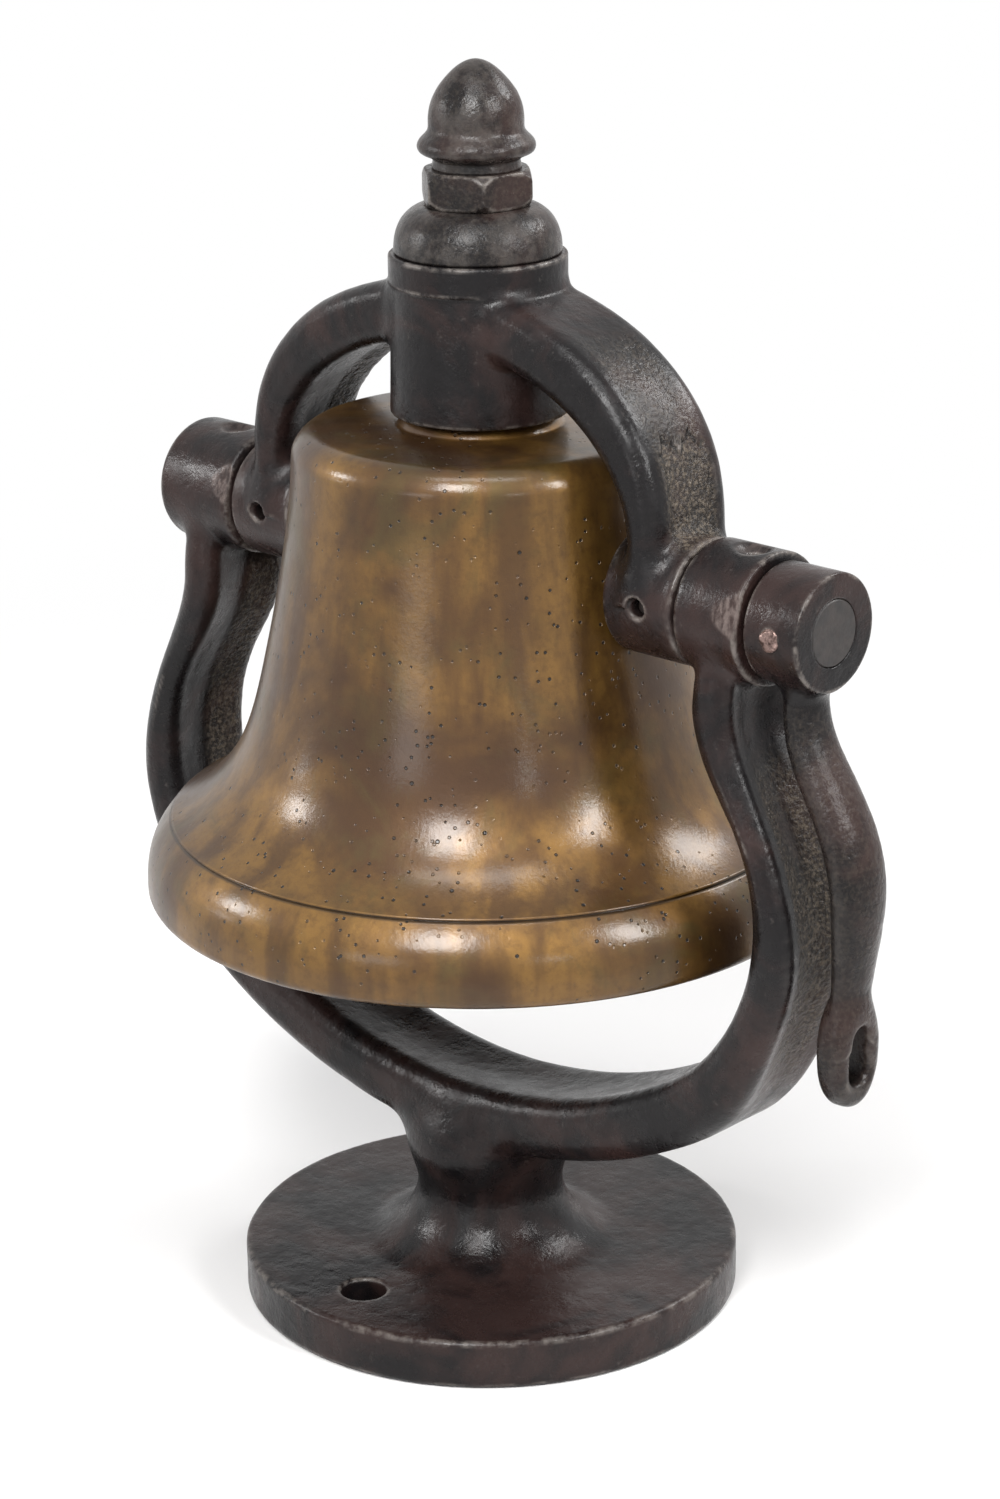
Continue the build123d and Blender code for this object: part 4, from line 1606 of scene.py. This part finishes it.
@dataclass
class CrownStack:
    """Domed washer, hexagon nut and acorn on top of the hub."""

    dome_top: float = 126.0
    nut_top: float = 139.0
    nut_flats: float = 37.0
    nut_turn: float = 20.0

    def nut_form(self, x: Grid, y: Grid, z: Grid) -> Grid:
        """Distance to the hexagon nut.

        Args:
            x, y, z: Coordinates of the points.

        Returns:
            Distances.
        """
        height = z - AXIS_HEIGHT
        prism = np.full(np.broadcast(x, y).shape, -1e9)
        for side in range(3):
            angle = math.radians(self.nut_turn + 30.0 + 60.0 * side)
            prism = np.maximum(prism, np.abs(x * math.cos(angle) + y * math.sin(angle)) - self.nut_flats / 2)
        radius = np.hypot(x, y)
        slab = between(self.dome_top, self.nut_top, height)
        cone = (radius - 18.9 + slab * 0.8) * 0.78
        body = shared(prism, slab, 0.6)
        body = shared(body, cone, 0.5)
        return carve(body, radius - 11.1, 0.3)

    @staticmethod
    def rough(x: Grid, y: Grid, z: Grid) -> Grid:
        """Where the sand texture is coarse: faintly, all over the nut."""
        return np.full(len(x), 0.16)

    def build(self, palette: Palette) -> None:
        """Make the three pieces and dress them.

        Args:
            palette: The finishes that the pieces share.
        """
        casting = Casting(0.6, 41, wobble=0.15, skin=0.08)
        low = (-24.0, -24.0, AXIS_HEIGHT + self.dome_top - 3.0)
        high = (24.0, 24.0, AXIS_HEIGHT + self.nut_top + 3.0)
        nut = casting.cast(self.nut_form, low, high, self.rough)
        dress(nut.to_object("crown_hex_nut"), palette.iron, "steel", Body.SWINGING, "hex_nut")
        dome_side = smooth_curve([(30.2, 109.8), (27.2, 121.0), (19.5, 126.0)], 14, (0.0, 1.0), (-1.0, 0.12))
        dome = np.vstack([[(11.4, 126.0), (11.4, 109.0), (29.6, 109.0)], dome_side])
        self._turn("crown_dome_washer", dome, palette, 53, "dome_washer")
        ring = smooth_curve(
            [(15.5, 142.0), (20.3, 145.0), (21.1, 147.0), (20.1, 149.4), (17.4, 152.5), (17.1, 155.5)],
            8,
            (0.5, 1.0),
            (0.0, 1.0),
        )
        tip_points = [(17.1, 155.5), (15.6, 163.5), (11.0, 170.6), (0.05, 177.3)]
        tip = smooth_curve(tip_points, 12, (0.0, 1.0), (-1.0, 0.02))
        hollow = [(0.05, 165.0), (11.1, 165.0), (11.1, 139.0), (16.0, 139.0)]
        acorn = np.vstack([hollow, ring, tip[1:]])
        self._turn("crown_acorn", acorn, palette, 59, "acorn_nut")

    @staticmethod
    def _turn(name: str, section: Grid, palette: Palette, seed: int, node: str) -> None:
        """Turn one round piece, make it a little uneven and dress it.

        Args:
            name: Name of the piece.
            section: Its section, as radius and height above the trunnion axis.
            palette: The finishes.
            seed: Start of the random unevenness.
            node: The node that it stands for.
        """
        line = dense(section, 0.7) + [0.0, AXIS_HEIGHT]
        points, quads = lathe(line, 180)
        grain = Grain(seed)
        radius = np.hypot(points[:, 0], points[:, 1])
        lift = grain.layers(points, 14.0, 4) * 0.3 * ease(13.0, 15.0, radius)
        direction = points * [1.0, 1.0, 0.0] / np.maximum(radius, 1.0)[:, None]
        points = points + direction * np.minimum(lift, 0.25)[:, None]
        plain = np.zeros(len(points))
        marks = dict.fromkeys(("hollow", "machined", "filed"), plain)
        marks |= {"wear": plain + 0.2, "rough": plain + 0.12}
        dress(Shell(points, quads, marks).to_object(name), palette.iron, "cast_iron", Body.SWINGING, node)


@dataclass
class Clapper:
    """Rod, ball and nut inside the bell."""

    def build(self, frame: dict, palette: Palette) -> None:
        """Dress the clapper's nodes.

        Args:
            frame: The loaded frame.
            palette: The finishes that the pieces share.
        """
        for node in ("clapper_rod", "clapper_ball_nut", "clapper_ball"):
            coat_node(frame, node, palette.steel)


@dataclass
class Shafts:
    """Trunnions, pins, bushes, bolt and the small pieces on it."""

    def build(self, frame: dict, palette: Palette) -> None:
        """Dress the nodes that keep their own shape.

        Args:
            frame: The loaded frame.
            palette: The finishes that the pieces share.
        """
        finishes = {
            "left_bearing_bush": palette.bush,
            "right_bearing_bush": palette.bush,
            "left_trunnion_pin": palette.steel,
            "right_trunnion_shaft": palette.shaft,
            "left_yoke_pin": palette.steel,
            "right_yoke_pin": palette.steel,
            "crown_gasket": palette.leather,
            "inner_crown_washer": palette.steel,
            "bell_bolt": palette.steel,
            "clapper_pivot_pin": palette.steel,
            "clapper_split_pin": palette.steel,
        }
        for node, material in finishes.items():
            coat_node(frame, node, material)


@dataclass(frozen=True)
class Softbox:
    """One rectangular lamp that faces the object.

    Attributes:
        name: Name of the lamp.
        aim: Direction from the object to the lamp.
        along: Direction of its width.
        width: Its width in metres.
        height: Its height in metres.
        power: Its power in watts.
        distance: How far it hangs from the object, in metres.
    """

    name: str
    aim: tuple[float, float, float]
    along: tuple[float, float, float]
    width: float
    height: float
    power: float
    distance: float = 2.2

    def hang(self, middle: tuple[float, float, float]) -> None:
        """Hang the lamp.

        Args:
            middle: The point that it faces, in metres.
        """
        light = bpy.data.lights.new(self.name, "AREA")
        light.shape = "RECTANGLE"
        light.size, light.size_y = self.width, self.height
        light.energy = self.power
        lamp = bpy.data.objects.new(self.name, light)
        back = Vector(self.aim).normalized()
        up = back.cross(Vector(self.along)).normalized()
        turn = Matrix((up.cross(back), up, back)).transposed()
        lamp.matrix_world = Matrix.Translation(Vector(middle) + back * self.distance) @ turn.to_4x4()
        bpy.context.scene.collection.objects.link(lamp)


def seen_share(tree: bpy.types.NodeTree) -> bpy.types.NodeSocket:
    """Give 1 to rays that show a surface to the eye, straight, mirrored or through glass.

    Args:
        tree: The node tree to build in.

    Returns:
        1 for those rays.
    """
    path = tree.nodes.new("ShaderNodeLightPath")
    share = path.outputs["Is Camera Ray"]
    for kind in ("Is Glossy Ray", "Is Transmission Ray"):
        either = tree.nodes.new("ShaderNodeMath")
        either.operation = "MAXIMUM"
        tree.links.new(share, either.inputs[0])
        tree.links.new(path.outputs[kind], either.inputs[1])
        share = either.outputs[0]
    return share


@dataclass
class Studio:
    """Pale floor that fades into a white backdrop, soft lamps and the camera."""

    eye: tuple[float, float, float] = (918.14, -960.61, 676.25)
    right: tuple[float, float, float] = (0.72856, 0.68488, -0.0115)
    up: tuple[float, float, float] = (-0.21629, 0.24595, 0.94484)
    lens: float = 90.64
    reach: float = 6.0
    fade_start: float = 300.0
    fade_end: float = 1100.0
    room_light: float = 0.28
    middle: tuple[float, float, float] = (0.0, 0.0, 0.28)
    lamps: tuple[Softbox, ...] = (
        Softbox("window_front", (0.33, -0.68, 0.65), (0.9, 0.44, 0.0), 0.6, 0.85, 48.0),
        Softbox("window_right", (0.85, 0.08, 0.52), (-0.1, 1.0, 0.0), 0.34, 0.8, 28.0),
        Softbox("window_back", (0.35, 0.67, 0.62), (0.88, -0.46, 0.0), 0.9, 0.5, 24.0),
        Softbox("window_left", (-0.73, -0.59, 0.34), (0.6, -0.8, 0.0), 0.36, 0.36, 13.0),
        Softbox("ceiling", (0.22, -0.28, 0.93), (0.78, 0.62, 0.0), 1.2, 0.3, 11.0, 1.9),
        Softbox("low_left", (-0.78, -0.62, 0.1), (0.6, -0.8, 0.0), 0.16, 0.14, 1.4),
        Softbox("low_front", (0.12, -0.98, 0.12), (1.0, 0.0, 0.0), 0.6, 0.4, 3.2),
        Softbox("low_right", (0.88, -0.43, 0.21), (0.43, 0.9, 0.0), 0.14, 0.2, 1.4),
    )

    def floor(self) -> None:
        """Lay the floor, lit near the object and white like the backdrop further off."""
        mesh = bpy.data.meshes.new("floor")
        side = self.reach
        corners = [(-side, -side, 0), (side, -side, 0), (side, side, 0), (-side, side, 0)]
        mesh.from_pydata(corners, [], [(0, 1, 2, 3)])
        floor = bpy.data.objects.new("floor", mesh)
        bpy.context.scene.collection.objects.link(floor)
        recipe = Recipe("pale_floor")
        tree = recipe.tree
        recipe.finish(base_color=(0.84, 0.83, 0.82), roughness=0.75)
        distance = tree.nodes.new("ShaderNodeVectorMath")
        distance.operation = "LENGTH"
        tree.links.new(recipe.place, distance.inputs[0])
        far = recipe.span(distance.outputs["Value"], self.fade_start * METRE, self.fade_end * METRE)
        share = recipe.sum("MULTIPLY", far, seen_share(tree))
        white = tree.nodes.new("ShaderNodeEmission")
        mix = tree.nodes.new("ShaderNodeMixShader")
        tree.links.new(share, mix.inputs[0])
        tree.links.new(recipe.shader.outputs["BSDF"], mix.inputs[1])
        tree.links.new(white.outputs["Emission"], mix.inputs[2])
        tree.links.new(mix.outputs["Shader"], recipe.output.inputs["Surface"])
        mesh.materials.append(recipe.material)

    def world(self) -> None:
        """Light the room evenly and show white behind the object."""
        world = bpy.data.worlds.new("studio")
        world.use_nodes = True
        tree = world.node_tree
        tree.nodes.clear()
        output = tree.nodes.new("ShaderNodeOutputWorld")
        mix = tree.nodes.new("ShaderNodeMixShader")
        room = tree.nodes.new("ShaderNodeBackground")
        room.inputs["Color"].default_value = (0.93, 0.95, 1.0, 1.0)
        room.inputs["Strength"].default_value = self.room_light
        white = tree.nodes.new("ShaderNodeBackground")
        white.inputs["Color"].default_value = (1.0, 1.0, 1.0, 1.0)
        white.inputs["Strength"].default_value = 1.0
        tree.links.new(seen_share(tree), mix.inputs[0])
        tree.links.new(room.outputs[0], mix.inputs[1])
        tree.links.new(white.outputs[0], mix.inputs[2])
        tree.links.new(mix.outputs[0], output.inputs["Surface"])
        bpy.context.scene.world = world

    def camera(self) -> None:
        """Stand the camera where the photograph was taken."""
        data = bpy.data.cameras.new("view")
        data.lens = self.lens
        data.sensor_width = 36.0
        data.clip_start = 0.05
        data.clip_end = 50.0
        camera = bpy.data.objects.new("view", data)
        right, up = Vector(self.right).normalized(), Vector(self.up).normalized()
        back = right.cross(up).normalized()
        turn = Matrix((right, up, back)).transposed()
        camera.matrix_world = Matrix.Translation(Vector(self.eye) * METRE) @ turn.to_4x4()
        bpy.context.scene.collection.objects.link(camera)
        bpy.context.scene.camera = camera

    def build(self) -> None:
        """Set up the whole studio."""
        self.floor()
        self.world()
        for lamp in self.lamps:
            lamp.hang(self.middle)
        self.camera()
        bpy.context.scene.view_settings.view_transform = "Standard"


def main() -> None:
    """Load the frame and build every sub-assembly."""
    logging.basicConfig(level=logging.INFO, format="%(name)s: %(message)s")
    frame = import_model()
    palette = Palette.mix()
    for assembly in (Stand(), Yoke(), Crank(), Bell(), CrownStack()):
        assembly.build(palette)
    Clapper().build(frame, palette)
    Shafts().build(frame, palette)
    Studio().build()


if __name__ == "__main__":
    main()
